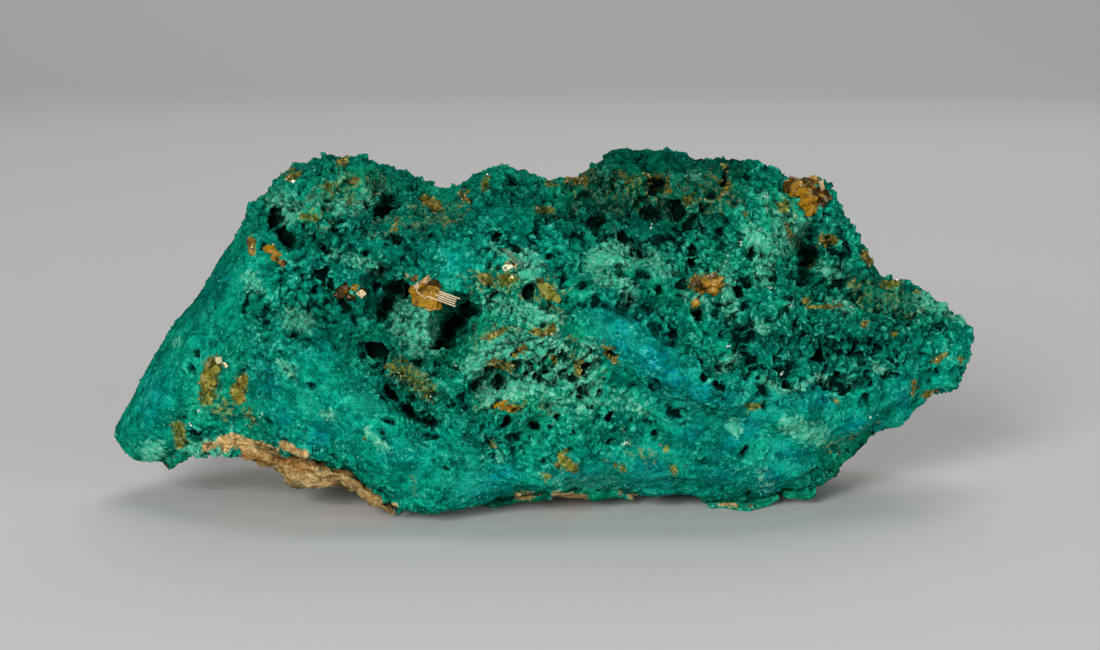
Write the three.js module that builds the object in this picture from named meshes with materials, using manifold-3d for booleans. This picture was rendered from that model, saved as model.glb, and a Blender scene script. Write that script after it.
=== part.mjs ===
// A herbertsmithite specimen: a long, pitted lump of green herbertsmithite that grew on a layer of
// tan, rust-stained rock, with amber crystals seated in its face. It rests on its flat underside.
// Millimetres, +Z up. The long side lies along X and the green face looks towards -Y. The origin is
// under the middle of the specimen, on the surface that it rests on.

import * as THREE from "three";
import { ImprovedNoise } from "three/addons/math/ImprovedNoise.js";
import { mergeVertices } from "three/addons/utils/BufferGeometryUtils.js";
import Module from "manifold-3d";

const wasm = await Module();
wasm.setup();

// ---------------------------------------------------------------- driving dimensions

const LENGTH = 60; // tip to tip
const HALF = LENGTH / 2;
const GAP = 0.3; // clearance between pieces that touch
const STATIONS = 55; // rings along the length
const TIP_CROWDING = 0.25; // how much closer the rings lie at the tips

// The crest, as seen from the front: [x, height].
const CREST = [
  [-30, 4.2], [-29.6, 5.1], [-29.2, 5.8], [-28.3, 7.6], [-27.5, 9.7], [-25.8, 12.1], [-23.3, 15],
  [-21.7, 17.7], [-20, 20.6], [-18.3, 22.2], [-16.7, 23.6], [-15, 24.2], [-13.3, 23.5], [-11.7, 23],
  [-10.4, 21.9], [-8.3, 22.3], [-7.4, 21.5], [-5.8, 21.8], [-4.8, 22.9], [-3.4, 23.3], [-2.2, 23.2],
  [-0.8, 22.4], [0.8, 22.1], [2.5, 22.2], [3.3, 23.5], [4.4, 24.5], [5.8, 24.8], [7.5, 24.2],
  [10.8, 24.2], [12.2, 23.6], [14.2, 23.8], [15.8, 23.2], [16.8, 22.2], [20, 21.4], [20.8, 20.2],
  [21.6, 18.2], [22.6, 16.3], [23.4, 15], [25, 15.2], [25.8, 14.6], [27.5, 13.4], [29.2, 12.5],
  [29.8, 12], [30, 11.4],
];

// The lower front edge, which the tan rock lines on the left: [x, height].
const LIP = [
  [-30, 4], [-29.6, 3.6], [-29.2, 3.3], [-28.3, 2.8], [-27.5, 2.5], [-25.8, 3], [-25, 3.3],
  [-23.3, 3.2], [-21.7, 3.8], [-19.4, 3.6], [-18.3, 2.9], [-16.7, 2.5], [-15, 2.3], [-13.4, 2.9],
  [-12.4, 2.3], [-11.6, 1.7], [-10, 0.9], [-8.3, 0.2], [-6.7, 0.1], [-5.6, 0.5], [-4.2, 0.6],
  [-3.2, 1], [-0.8, 1.4], [1.8, 1], [5, 1.8], [6.6, 0.8], [12.4, 0.4], [14.4, 0.4], [17.6, 0.6],
  [18.4, 1.4], [19.2, 2.9], [20.8, 3.9], [22.5, 4.6], [24.2, 5.6], [25.8, 6.9], [28.2, 7.8],
  [29.2, 9], [30, 10.4],
];

// Depths along the length: [x, y]. The face bulges most at the lower lobe, left of the middle.
const CREST_DEPTH = [[-30, 0], [-20, 0.5], [-8, 2], [4, 3], [12, 1], [20, 1], [30, 2]];
const FACE_DEPTH = [
  [-30, -0.9], [-28, -4], [-24, -7], [-18, -9.6], [-10, -11.6], [-4, -12], [4, -10.6], [12, -10],
  [18, -8.4], [24, -4.6], [28, -1.4], [30, 0.9],
];
const LIP_DEPTH = [
  [-30, -0.8], [-28, -2.6], [-22, -5.4], [-15, -8.2], [-8, -9.6], [-2, -8], [6, -5.6], [14, -5],
  [19, -4], [24, -2], [30, 1.2],
];
const BACK_DEPTH = [
  [-30, 0.9], [-28, 5.2], [-24, 9.6], [-18, 12.8], [-8, 14.2], [4, 14.6], [14, 14], [20, 12],
  [25, 8.8], [28, 5.6], [30, 3],
];
// The underside, between the front lip and the back: [x, height]. Where it would pass below the
// resting plane it is worn flat.
const SOLE = [
  [-30, 4.2], [-27, 3.5], [-22, 3.9], [-17, 2.7], [-12, 1.7], [-9, 0.2], [-7, -0.2], [8, -0.1],
  [17, -0.1], [20, 2.4], [24, 5], [28, 7.6], [30, 10.6],
];

// Swells and dents of the green face, each along a line from one point to another in [x, height].
const FACE_RELIEF = [
  { name: "swooping crest of the lower lobe", from: [-17.5, 12.6], to: [-8.4, 5.6], width: 1.9, rise: 1.4 },
  { name: "ledge under the lobe's crest", from: [-11.6, 11], to: [-7, 7.6], width: 1.1, rise: -2.3 },
  { name: "hollow behind the lobe", from: [-14, 15.8], to: [-6, 12.6], width: 2.7, rise: -2.6 },
  { name: "crumbly lump in the middle", from: [-3.2, 9.8], to: [0.8, 7], width: 2.9, rise: 1.6 },
  { name: "smooth band from the middle", from: [2.2, 14.3], to: [11, 9.4], width: 1.7, rise: 1.5 },
  { name: "smooth band, lower run", from: [11, 9.2], to: [21, 6.6], width: 1.7, rise: 1.0 },
  { name: "trough under the smooth band", from: [4, 9.4], to: [12.4, 7], width: 0.9, rise: -1.0 },
  { name: "bottom bench", from: [-1, 4], to: [17, 3.6], width: 1.7, rise: 1.2 },
  { name: "hollow under the crest's hump", from: [6.5, 21.4], to: [11.5, 20], width: 1.9, rise: -2.6 },
  { name: "lip below that hollow", from: [5.6, 18.2], to: [10.4, 17], width: 1.3, rise: 1.1 },
  { name: "shoulder lump", from: [12, 17], to: [15.4, 13.4], width: 2.7, rise: 1.2 },
  { name: "gully beside the shoulder", from: [17.4, 19.6], to: [20.8, 14.4], width: 1.4, rise: -2.2 },
  { name: "right arm's lump", from: [22, 12.6], to: [27, 12.2], width: 1.8, rise: 1.0 },
  { name: "notch in the right arm", from: [24, 9.6], to: [27, 9.8], width: 0.9, rise: -0.9 },
  { name: "upper left knob", from: [-16.6, 21.6], to: [-14.4, 20.4], width: 2.0, rise: 1.2 },
  { name: "dent under the upper left knob", from: [-12.2, 21.8], to: [-10, 20], width: 1.5, rise: -2.2 },
  { name: "crest lump left of the middle", from: [-6.6, 19.6], to: [-2.4, 19.8], width: 2.1, rise: 1.3 },
  { name: "cleft beside the crest lump", from: [1.6, 21.4], to: [3.4, 18.6], width: 1.0, rise: -1.4 },
];

// Lumps and pits all over, each field with its own size in mm and its heights.
const LUMP_FIELDS = [
  { size: 4.8, lump: 2.2, pit: -0.8 },
  { size: 2.7, lump: 1.7, pit: -1.7 },
];
const PIT_SHARE = 0.35; // how many of a field's cells hold a pit
const PIT_REACH = 0.5; // a pit's half width, in cells
const LUMP_LEVEL = 0.72; // the lump height that leaves the surface where it is

// Smooth stretches of the face: [x, height] from and to, and half width. The rest is lumpy.
const SMOOTH_STRETCHES = [
  { name: "left arm", from: [-28, 6], to: [-20, 14], width: 5 },
  { name: "lower lobe", from: [-18, 9], to: [-8, 3], width: 3 },
  { name: "band across the middle", from: [3, 13.4], to: [11, 9.4], width: 2 },
  { name: "bottom bench", from: [-4, 3], to: [20, 5], width: 2.6 },
];

// Deep holes in the green face: centre [x, height], half sizes [x, y, z], turn about Y in degrees.
const HOLES = [
  { name: "hole beside the striated crystal", at: [-6, 13.5], half: [1.5, 3.0, 1.9], turn: 25 },
  { name: "hole left of the striated crystal", at: [-10.8, 15.5], half: [1.2, 2.6, 1.7], turn: -10 },
  { name: "hole at the upper left", at: [-17.8, 19.6], half: [0.95, 2.0, 0.95], turn: 45 },
  { name: "narrow hole on the left", at: [-19.1, 14.4], half: [0.6, 1.7, 1.3], turn: -8 },
  { name: "hole under the crest", at: [3.8, 21.2], half: [1.6, 2.6, 1.0], turn: 15 },
  { name: "hole in the crest's hump", at: [7.7, 23.1], half: [1.4, 2.0, 0.9], turn: -12 },
  { name: "hole beside the shoulder", at: [18.1, 17.9], half: [0.9, 2.2, 1.6], turn: 15 },
  { name: "slit under the lower lobe", at: [-9.3, 8.5], half: [2.7, 2.0, 0.6], turn: 40 },
  { name: "hole in the middle lump", at: [-3.6, 10], half: [0.95, 1.8, 0.8], turn: 10 },
];

// Where the green mass gives way to the tan rock: how far above the lip the rock shows, [x, mm],
// and how far back the rock climbs the rear of the specimen, [x, y].
const ROCK_RIM = [
  [-30, -1.4], [-25.6, -1], [-24.6, 1], [-22, 1.7], [-19, 1.3], [-15, 1.2], [-12, 0.9], [-10.4, 0.5],
  [-9.4, -1], [-3, -1], [-1.4, 0.5], [3.2, 0.5], [4.4, -0.6], [18, -0.4], [30, 0.2],
];
const ROCK_CLIMB = [[-30, 6], [-20, 6.6], [-4, 8], [10, 6.5], [20, 3.4], [26, 1.4], [30, 1]];

// Broken faces of the back: outward normal and distance from the origin.
const BROKEN_FACES = [
  { normal: [-0.14, 0.98, 0.1], reach: 14.4 },
  { normal: [0.26, 0.96, -0.1], reach: 14.3 },
  { normal: [-0.2, 0.72, 0.68], reach: 23 },
  { normal: [0.34, 0.66, 0.66], reach: 23.6 },
  { normal: [-0.66, 0.68, 0.3], reach: 24 },
  { normal: [0.06, 0.66, -0.75], reach: 8 },
];

// ---------------------------------------------------------------- colours

const paint = (hex, roughness) => new THREE.MeshStandardMaterial({ color: hex, roughness, metalness: 0 });
const GREEN = paint(0x127a63, 0.75);
const TAN = paint(0xb08a5c, 0.85);
const AMBER = paint(0xb07a1c, 0.2);
const OLIVE = paint(0x8a8420, 0.3);
const PALE = paint(0xc9c4a6, 0.45);

// ---------------------------------------------------------------- helpers

const noise = new ImprovedNoise();
const lerp = THREE.MathUtils.lerp;
const degrees = THREE.MathUtils.degToRad;

/** A line along the specimen as a function of x, from its corners. */
function lineOf(corners, Kind = THREE.LinearInterpolant) {
  const line = new Kind(corners.map(([x]) => x), corners.map(([, value]) => value), 1);
  return (x) => line.evaluate(x)[0];
}

/** Noise of three sizes around a size in mm, from about -1 to 1. */
function crag(p, size, seed) {
  let sum = 0;
  for (const [share, finer] of [[0.55, 1], [0.3, 2.1], [0.15, 4.3]]) {
    sum += share * noise.noise((p.x * finer) / size + seed, (p.y * finer) / size, (p.z * finer) / size);
  }
  return sum;
}

/** A steady number from 0 to 1 for a whole-numbered cell and a salt. */
function cellNumber(i, j, k, salt) {
  const mixed = Math.sin(i * 127.1 + j * 311.7 + k * 74.7 + salt * 53.3) * 43758.5453;
  return mixed - Math.floor(mixed);
}

/**
 * Lumps and pits of about the given size. Lumps run from 0 in the creases to 1 on their tops, and
 * pits from 0 at their rims to 1 at their deepest.
 */
function lumpsAndPits(p, size) {
  const [u, v, w] = [p.x / size, p.y / size, p.z / size];
  const [i0, j0, k0] = [u, v, w].map(Math.floor);
  let nearest = 2;
  let pit = 0;
  for (let i = i0 - 1; i <= i0 + 1; i += 1) {
    for (let j = j0 - 1; j <= j0 + 1; j += 1) {
      for (let k = k0 - 1; k <= k0 + 1; k += 1) {
        const away = Math.hypot(
          i + cellNumber(i, j, k, 1) - u, j + cellNumber(i, j, k, 2) - v, k + cellNumber(i, j, k, 3) - w,
        );
        nearest = Math.min(nearest, away);
        if (cellNumber(i, j, k, 4) < PIT_SHARE) pit = Math.max(pit, 1 - (away / PIT_REACH) ** 2);
      }
    }
  }
  return { lump: 1 - nearest * nearest, pit };
}

/** A closed mesh as a manifold solid. */
function solid(geometry) {
  const bare = geometry.index ? geometry.toNonIndexed() : geometry.clone();
  for (const name of Object.keys(bare.attributes)) {
    if (name !== "position") bare.deleteAttribute(name);
  }
  const merged = mergeVertices(bare, 1e-4);
  return new wasm.Manifold(
    new wasm.Mesh({
      numProp: 3,
      vertProperties: merged.attributes.position.array,
      triVerts: new Uint32Array(merged.index.array),
    }),
  );
}

/** A solid as a named mesh. */
function piece(name, body, material) {
  const { vertProperties, triVerts } = body.getMesh();
  const geometry = new THREE.BufferGeometry()
    .setAttribute("position", new THREE.BufferAttribute(Float32Array.from(vertProperties), 3))
    .setIndex(new THREE.BufferAttribute(Uint32Array.from(triVerts), 1));
  geometry.computeVertexNormals();
  const mesh = new THREE.Mesh(geometry, material);
  mesh.name = name;
  return mesh;
}

/** Joins several solids into one. */
const joined = (solids) => solids.reduce((sum, next) => sum.add(next));

/** The largest of a solid's separate bodies, so that a cut leaves no crumbs. */
const largest = (body) => body.decompose().reduce((a, b) => (a.volume() > b.volume() ? a : b));

/** Distance in the front view from a point to the line between two others. */
function awayFrom(x, z, [x1, z1], [x2, z2]) {
  const dx = x2 - x1;
  const dz = z2 - z1;
  const t = THREE.MathUtils.clamp(((x - x1) * dx + (z - z1) * dz) / (dx * dx + dz * dz), 0, 1);
  return Math.hypot(x - x1 - t * dx, z - z1 - t * dz);
}

// ---------------------------------------------------------------- the whole lump

const crest = lineOf(CREST);
const lip = lineOf(LIP);
const sole = lineOf(SOLE);
const crestDepth = lineOf(CREST_DEPTH, THREE.CubicInterpolant);
const faceDepth = lineOf(FACE_DEPTH, THREE.CubicInterpolant);
const lipDepth = lineOf(LIP_DEPTH, THREE.CubicInterpolant);
const backDepth = lineOf(BACK_DEPTH, THREE.CubicInterpolant);

// Points round a ring between one guide line and the next, from the crest down the face and round.
const RING_STEPS = [7, 10, 8, 3, 2, 2, 2, 2, 2];
const RING = RING_STEPS.reduce((sum, steps) => sum + steps);

/** A line averaged over a stretch of the length, so that its corners don't run down the face. */
const calm = (line, x, reach) => (line(x - reach) + 2 * line(x) + line(x + reach)) / 4;

/** The ring of points round the lump at x, before its relief. */
function ringAt(x) {
  const [top, low] = [crest(x), lip(x)];
  const [calmTop, calmLow] = [calm(crest, x, 2.2), calm(lip, x, 1.4)];
  const under = Math.min(sole(x), low);
  const up = (share) => lerp(calmLow, calmTop, share);
  const back = backDepth(x);
  const guides = [
    [crestDepth(x), top],
    [lerp(crestDepth(x), faceDepth(x), 0.66), up(0.83)],
    [faceDepth(x), up(0.42)],
    [lipDepth(x), low],
    [lerp(lipDepth(x), back, 0.22), under],
    [lerp(lipDepth(x), back, 0.7), under],
    [back * 0.97, lerp(under, calmTop, 0.22)],
    [back, up(0.55)],
    [lerp(crestDepth(x), back, 0.6), up(0.88)],
  ];
  const loop = new THREE.CatmullRomCurve3(
    guides.map(([y, z]) => new THREE.Vector3(x, y, z)), true, "centripetal",
  );
  const points = [];
  RING_STEPS.forEach((steps, guide) => {
    for (let step = 0; step < steps; step += 1) {
      points.push(loop.getPoint((guide + step / steps) / guides.length));
    }
  });
  return points;
}

/** How smooth the face is at a point of the front view, from 0 to 1. */
const smoothness = (x, z) =>
  Math.max(...SMOOTH_STRETCHES.map(({ from, to, width }) => Math.exp(-((awayFrom(x, z, from, to) / width) ** 4))));

/** How far the relief moves a point of the lump outwards. It is held back along the crest. */
function relief(p, outwards) {
  const facing = THREE.MathUtils.smoothstep(-outwards.y, 0.05, 0.6);
  const held = 0.6 * THREE.MathUtils.smoothstep(outwards.z, 0.7, 1);
  const rough = (1 - 0.75 * facing * smoothness(p.x, p.z)) * (1 - held);
  let rise = 0.8 * crag(p, 6.5, 3.1) + 0.5 * rough * crag(p, 2.4, 17.7);
  for (const field of LUMP_FIELDS) {
    const { lump, pit } = lumpsAndPits(p, field.size);
    rise += rough * (field.lump * (lump - LUMP_LEVEL) + field.pit * pit);
  }
  for (const { from, to, width, rise: height } of FACE_RELIEF) {
    rise += facing * height * Math.exp(-((awayFrom(p.x, p.z, from, to) / width) ** 2));
  }
  return rise;
}

/** The lump as a closed solid: rings along X, closed by a point at each tip. */
function lump() {
  const points = [];
  for (let station = 0; station <= STATIONS; station += 1) {
    const t = station / STATIONS;
    const x = -HALF + LENGTH * (t - (TIP_CROWDING * Math.sin(2 * Math.PI * t)) / (2 * Math.PI));
    const ring = ringAt(x);
    const middle = ring.reduce((sum, p) => sum.add(p), new THREE.Vector3()).divideScalar(ring.length);
    middle.x = THREE.MathUtils.clamp(x, -HALF + 4, HALF - 4);
    for (const p of ring) {
      const outwards = p.clone().sub(middle).normalize();
      const tip = THREE.MathUtils.smoothstep(HALF - Math.abs(x), 0, 6);
      points.push(p.addScaledVector(outwards, tip * relief(p, outwards)));
    }
  }
  const faces = [];
  for (let station = 0; station < STATIONS; station += 1) {
    for (let step = 0; step < RING; step += 1) {
      const a = station * RING + step;
      const b = station * RING + ((step + 1) % RING);
      faces.push(a, b, a + RING, b, b + RING, a + RING);
    }
  }
  for (const station of [0, STATIONS]) {
    const first = station * RING;
    const tip = points.slice(first, first + RING).reduce((sum, p) => sum.add(p), new THREE.Vector3());
    points.push(tip.divideScalar(RING));
    for (let step = 0; step < RING; step += 1) {
      const a = first + step;
      const b = first + ((step + 1) % RING);
      faces.push(...(station === 0 ? [b, a, points.length - 1] : [a, b, points.length - 1]));
    }
  }
  return solid(new THREE.BufferGeometry().setFromPoints(points).setIndex(faces));
}

/** A big block whose one face is the plane at that distance along the normal. */
function blockBeyond(normal, reach) {
  const size = 3 * LENGTH;
  const turn = new THREE.Quaternion().setFromUnitVectors(
    new THREE.Vector3(0, 0, 1), new THREE.Vector3(...normal).normalize(),
  );
  return solid(
    new THREE.BoxGeometry(size, size, size).translate(0, 0, size / 2 + reach).applyQuaternion(turn),
  );
}

/** A ragged hollow to cut out of the face, sunk into it from the point that the ray finds. */
function hole({ at: [x, z], half, turn }, seed) {
  const shape = new THREE.IcosahedronGeometry(1, half[2] > 1.8 ? 2 : 1);
  const position = shape.attributes.position;
  const p = new THREE.Vector3();
  for (let i = 0; i < position.count; i += 1) {
    p.fromBufferAttribute(position, i);
    p.multiplyScalar(1 + 0.55 * crag(p, 0.8, seed));
    position.setXYZ(i, ...p);
  }
  shape.scale(...half).rotateY(degrees(turn)).translate(x, surfaceDepth(x, z) + half[1] * 0.35, z);
  return solid(shape);
}

const block = BROKEN_FACES.reduce(
  (body, { normal, reach }) => body.subtract(blockBeyond(normal, reach)), lump(),
).subtract(blockBeyond([0, 0, -1], 0));
const blockMesh = piece("block", block, GREEN);
blockMesh.material.side = THREE.DoubleSide;
const probe = new THREE.Raycaster();

/** The depth of the green face at a point of the front view. */
function surfaceDepth(x, z) {
  probe.set(new THREE.Vector3(x, -LENGTH, z), new THREE.Vector3(0, 1, 0));
  const hits = probe.intersectObject(blockMesh);
  if (!hits.length) throw new Error(`nothing lies behind ${x}, ${z}`);
  return hits[0].point.y;
}

const pitted = HOLES.reduce((body, one, index) => body.subtract(hole(one, 5 + 3 * index)), block);

// ---------------------------------------------------------------- the tan rock below and behind

/** The top of the tan rock: a thin bed under the lip, climbing the back of the specimen. */
function rockTop() {
  const rim = lineOf(ROCK_RIM);
  const climb = lineOf(ROCK_CLIMB, THREE.CubicInterpolant);
  return (x, y) => {
    const bed = lip(x) + rim(x) + 0.14 * (y - lipDepth(x));
    const wall = 2.4 * Math.max(0, y - climb(x));
    return bed + wall + 0.9 * noise.noise(x / 4.2, y / 3.4, 8.3);
  };
}

/** Everything under the rock's top, pushed up and forwards by the given clearance. */
function underRock(clearance) {
  const top = rockTop();
  const [width, depth, below] = [LENGTH + 8, LENGTH * 0.8, -6];
  const slab = new THREE.BoxGeometry(width, depth, 1, 22, 7, 1);
  const position = slab.attributes.position;
  for (let i = 0; i < position.count; i += 1) {
    const [x, y, z] = [position.getX(i), position.getY(i), position.getZ(i)];
    position.setZ(i, z > 0 ? Math.max(top(x, y), below + 1) : below);
  }
  return solid(slab.translate(0, -clearance, clearance));
}

// ---------------------------------------------------------------- the crystals

const SIDES = 6;
const ROOT = 0.9; // how deep a crystal's foot is seated

/**
 * One six-sided crystal with a low point, standing along +Z with its foot at the origin.
 * It grows by the given clearance all round.
 */
function prism({ radius, length, flat = 0.8, tip = 0.5 }, clearance) {
  const r = radius + clearance;
  const end = length + clearance;
  const profile = [[0, -ROOT - clearance], [r, -ROOT - clearance], [r, end - tip * radius], [0, end]];
  const shape = new THREE.LatheGeometry(profile.map(([a, b]) => new THREE.Vector2(a, b)), SIDES);
  return shape.rotateX(Math.PI / 2).scale(1, flat, 1);
}

/** A grooved blade, lying along +Z with its foot at the origin. */
function blade({ radius, length, ribs }, clearance) {
  const outline = new THREE.Shape();
  const rib = (2 * radius) / ribs;
  outline.moveTo(-radius - clearance, -0.3 * radius - clearance);
  outline.lineTo(radius + clearance, -0.3 * radius - clearance);
  for (let i = ribs; i >= 0; i -= 1) {
    const x = -radius + i * rib;
    outline.lineTo(x + Math.sign(x) * clearance, 0.28 * radius + clearance);
    if (i > 0) outline.lineTo(x - rib / 2, 0.55 * radius + clearance);
  }
  const depth = length + ROOT + 2 * clearance;
  return new THREE.ExtrudeGeometry(outline, { depth, bevelEnabled: false }).translate(
    0, 0, -ROOT - clearance,
  );
}

// Each cluster: where it sits in the front view, and its crystals. A crystal's lean is where its tip
// points: degrees from straight out of the face, and degrees anticlockwise from +X in the front view.
const CLUSTERS = [
  {
    name: "striated_amber_crystal", at: [-8.2, 15.7], material: AMBER,
    crystals: [
      { radius: 0.95, length: 1.1, lean: [20, 150], shift: [-0.2, 0.1] },
      { radius: 0.75, length: 0.9, lean: [30, 250], shift: [-0.2, -0.6] },
      { radius: 0.45, length: 2.3, lean: [62, -18], shift: [0.1, 0], ribs: 4, roll: 85 },
    ],
  },
  {
    name: "shoulder_amber_crystals", at: [18.2, 20.7], material: AMBER,
    crystals: [
      { radius: 1.0, length: 1.5, lean: [40, 95], shift: [-0.6, 0.2] },
      { radius: 0.95, length: 1.4, lean: [45, 55], shift: [0.6, 0.1] },
      { radius: 0.7, length: 1.3, lean: [45, 140], shift: [-1.3, 0.4] },
      { radius: 0.8, length: 0.9, lean: [15, 280], shift: [-0.2, -0.8] },
    ],
  },
  {
    name: "upper_left_amber_crystal", at: [-18.8, 18.5], material: AMBER,
    crystals: [
      { radius: 0.62, length: 1.2, lean: [58, -42], shift: [-0.2, 0.2] },
      { radius: 0.55, length: 0.7, lean: [30, 120], shift: [-0.3, 0.2] },
    ],
  },
  {
    name: "lower_left_amber_crystals", at: [-23.1, 10.3], material: AMBER,
    crystals: [
      { radius: 0.7, length: 1.0, lean: [35, 80], shift: [0.1, 1.1] },
      { radius: 0.8, length: 0.8, lean: [20, 100], shift: [-0.1, -0.1] },
      { radius: 0.75, length: 0.7, lean: [30, 240], shift: [-0.4, -1.2] },
    ],
  },
  {
    name: "right_amber_crystal", at: [11.1, 16.5], material: AMBER,
    crystals: [
      { radius: 0.85, length: 0.8, lean: [15, 20], shift: [0.3, 0.1] },
      { radius: 0.75, length: 0.7, lean: [25, 190], shift: [-0.6, -0.1] },
    ],
  },
  {
    name: "middle_olive_crystal", at: [0.1, 15.6], material: OLIVE,
    crystals: [
      { radius: 0.62, length: 1.0, lean: [35, 85], shift: [0, 0.4] },
      { radius: 0.65, length: 0.8, lean: [20, 250], shift: [0.1, -0.4] },
    ],
  },
  {
    name: "upper_olive_crystals", at: [-3.2, 17], material: OLIVE,
    crystals: [
      { radius: 0.6, length: 0.7, lean: [20, 150], shift: [-0.7, 0] },
      { radius: 0.6, length: 0.75, lean: [25, 20], shift: [0.5, -0.1] },
    ],
  },
  {
    name: "pale_blade", at: [-2.9, 18.9], material: PALE,
    crystals: [{ radius: 0.45, length: 2.0, lean: [70, 142], shift: [0.1, -0.2], ribs: 3, roll: 80 }],
  },
  {
    name: "hollow_amber_crystals", at: [-13.3, 16.2], material: AMBER,
    crystals: [
      { radius: 0.72, length: 0.8, lean: [30, 160], shift: [-0.5, 0.1] },
      { radius: 0.72, length: 0.9, lean: [20, 20], shift: [0.4, 0] },
    ],
  },
  {
    name: "lower_middle_amber_crystal", at: [-2.7, 8.2], material: AMBER,
    crystals: [
      { radius: 0.5, length: 1.1, lean: [60, -8], shift: [-0.3, 0.1] },
      { radius: 0.5, length: 0.6, lean: [30, 170], shift: [-0.3, 0.1] },
    ],
  },
  {
    name: "bottom_olive_crystals", at: [1.5, 4.3], material: OLIVE,
    crystals: [
      { radius: 0.6, length: 0.9, lean: [35, 110], shift: [-0.3, 0.3] },
      { radius: 0.6, length: 0.8, lean: [40, 10], shift: [0.4, -0.1] },
    ],
  },
];

/** A cluster as one solid, its crystals standing on the face, grown by the given clearance. */
function cluster({ at: [x, z], crystals }, clearance) {
  return joined(
    crystals.map((crystal) => {
      const [out, round] = crystal.lean.map(degrees);
      const points = new THREE.Vector3(
        Math.sin(out) * Math.cos(round), -Math.cos(out), Math.sin(out) * Math.sin(round),
      );
      const shape = crystal.ribs ? blade(crystal, clearance) : prism(crystal, clearance);
      shape.rotateZ(degrees(crystal.roll ?? 17 * crystal.radius * 100));
      shape.applyQuaternion(new THREE.Quaternion().setFromUnitVectors(new THREE.Vector3(0, 0, 1), points));
      const [dx, dz] = crystal.shift;
      return solid(shape.translate(x + dx, surfaceDepth(x + dx, z + dz), z + dz));
    }),
  );
}

// ---------------------------------------------------------------- assembly

const sockets = joined(CLUSTERS.map((one) => cluster(one, GAP)));
const greenMass = largest(pitted.subtract(underRock(GAP)).subtract(sockets));
const tanRock = largest(pitted.intersect(underRock(0)).subtract(sockets));

const specimen = new THREE.Group();
specimen.add(piece("herbertsmithite_mass", greenMass, GREEN));
specimen.add(piece("tan_matrix", tanRock, TAN));
for (const one of CLUSTERS) {
  specimen.add(piece(one.name, cluster(one, 0), one.material));
}

// The origin goes under the middle of the specimen, on the resting plane.
const box = new THREE.Box3().setFromObject(specimen);
const centre = box.getCenter(new THREE.Vector3());
specimen.position.set(-centre.x, -centre.y, -box.min.z);

export default specimen;
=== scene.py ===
"""Looks of a herbertsmithite specimen: a pitted green crust on tan rock, with amber crystals.

Sizes are in millimetres while the pieces are built, and each finished mesh is scaled to metres.
A mark on the face is placed on the sheet: the plane through the specimen's tips, square to the
line of sight. A point of the sheet is (across, up), and a mark falls on the surface behind it.
"""

import functools
import logging
import math
from dataclasses import dataclass
from enum import Enum
from typing import ClassVar

import bmesh
import bpy
import numpy as np
from mathutils import Matrix, Vector
from mathutils.bvhtree import BVHTree


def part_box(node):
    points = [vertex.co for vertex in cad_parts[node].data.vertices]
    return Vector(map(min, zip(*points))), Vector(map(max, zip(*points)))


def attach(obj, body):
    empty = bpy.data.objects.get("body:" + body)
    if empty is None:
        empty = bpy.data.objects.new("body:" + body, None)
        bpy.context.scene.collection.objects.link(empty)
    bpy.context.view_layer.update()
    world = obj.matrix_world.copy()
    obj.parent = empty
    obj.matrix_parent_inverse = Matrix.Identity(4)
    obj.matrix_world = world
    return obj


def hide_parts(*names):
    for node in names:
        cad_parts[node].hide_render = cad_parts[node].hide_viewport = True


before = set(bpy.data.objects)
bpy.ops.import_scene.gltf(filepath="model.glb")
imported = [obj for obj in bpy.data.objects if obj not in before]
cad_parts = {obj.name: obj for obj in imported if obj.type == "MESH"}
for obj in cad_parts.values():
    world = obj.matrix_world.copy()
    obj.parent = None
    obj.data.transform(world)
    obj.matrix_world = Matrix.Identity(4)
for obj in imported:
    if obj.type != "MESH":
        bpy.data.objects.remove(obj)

LOG = logging.getLogger("specimen")
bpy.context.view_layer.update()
MM = 0.001
BODY = "root"
WELD = 1e-4
TOUCH = 1e-5

Points = np.ndarray
Spot = tuple[float, float]
Triple = tuple[float, float, float]
Chance = np.random.Generator
Mesh = bpy.types.Mesh
EditMesh = bmesh.types.BMesh
Material = bpy.types.Material


# ---------------- noise and arrays


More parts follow.
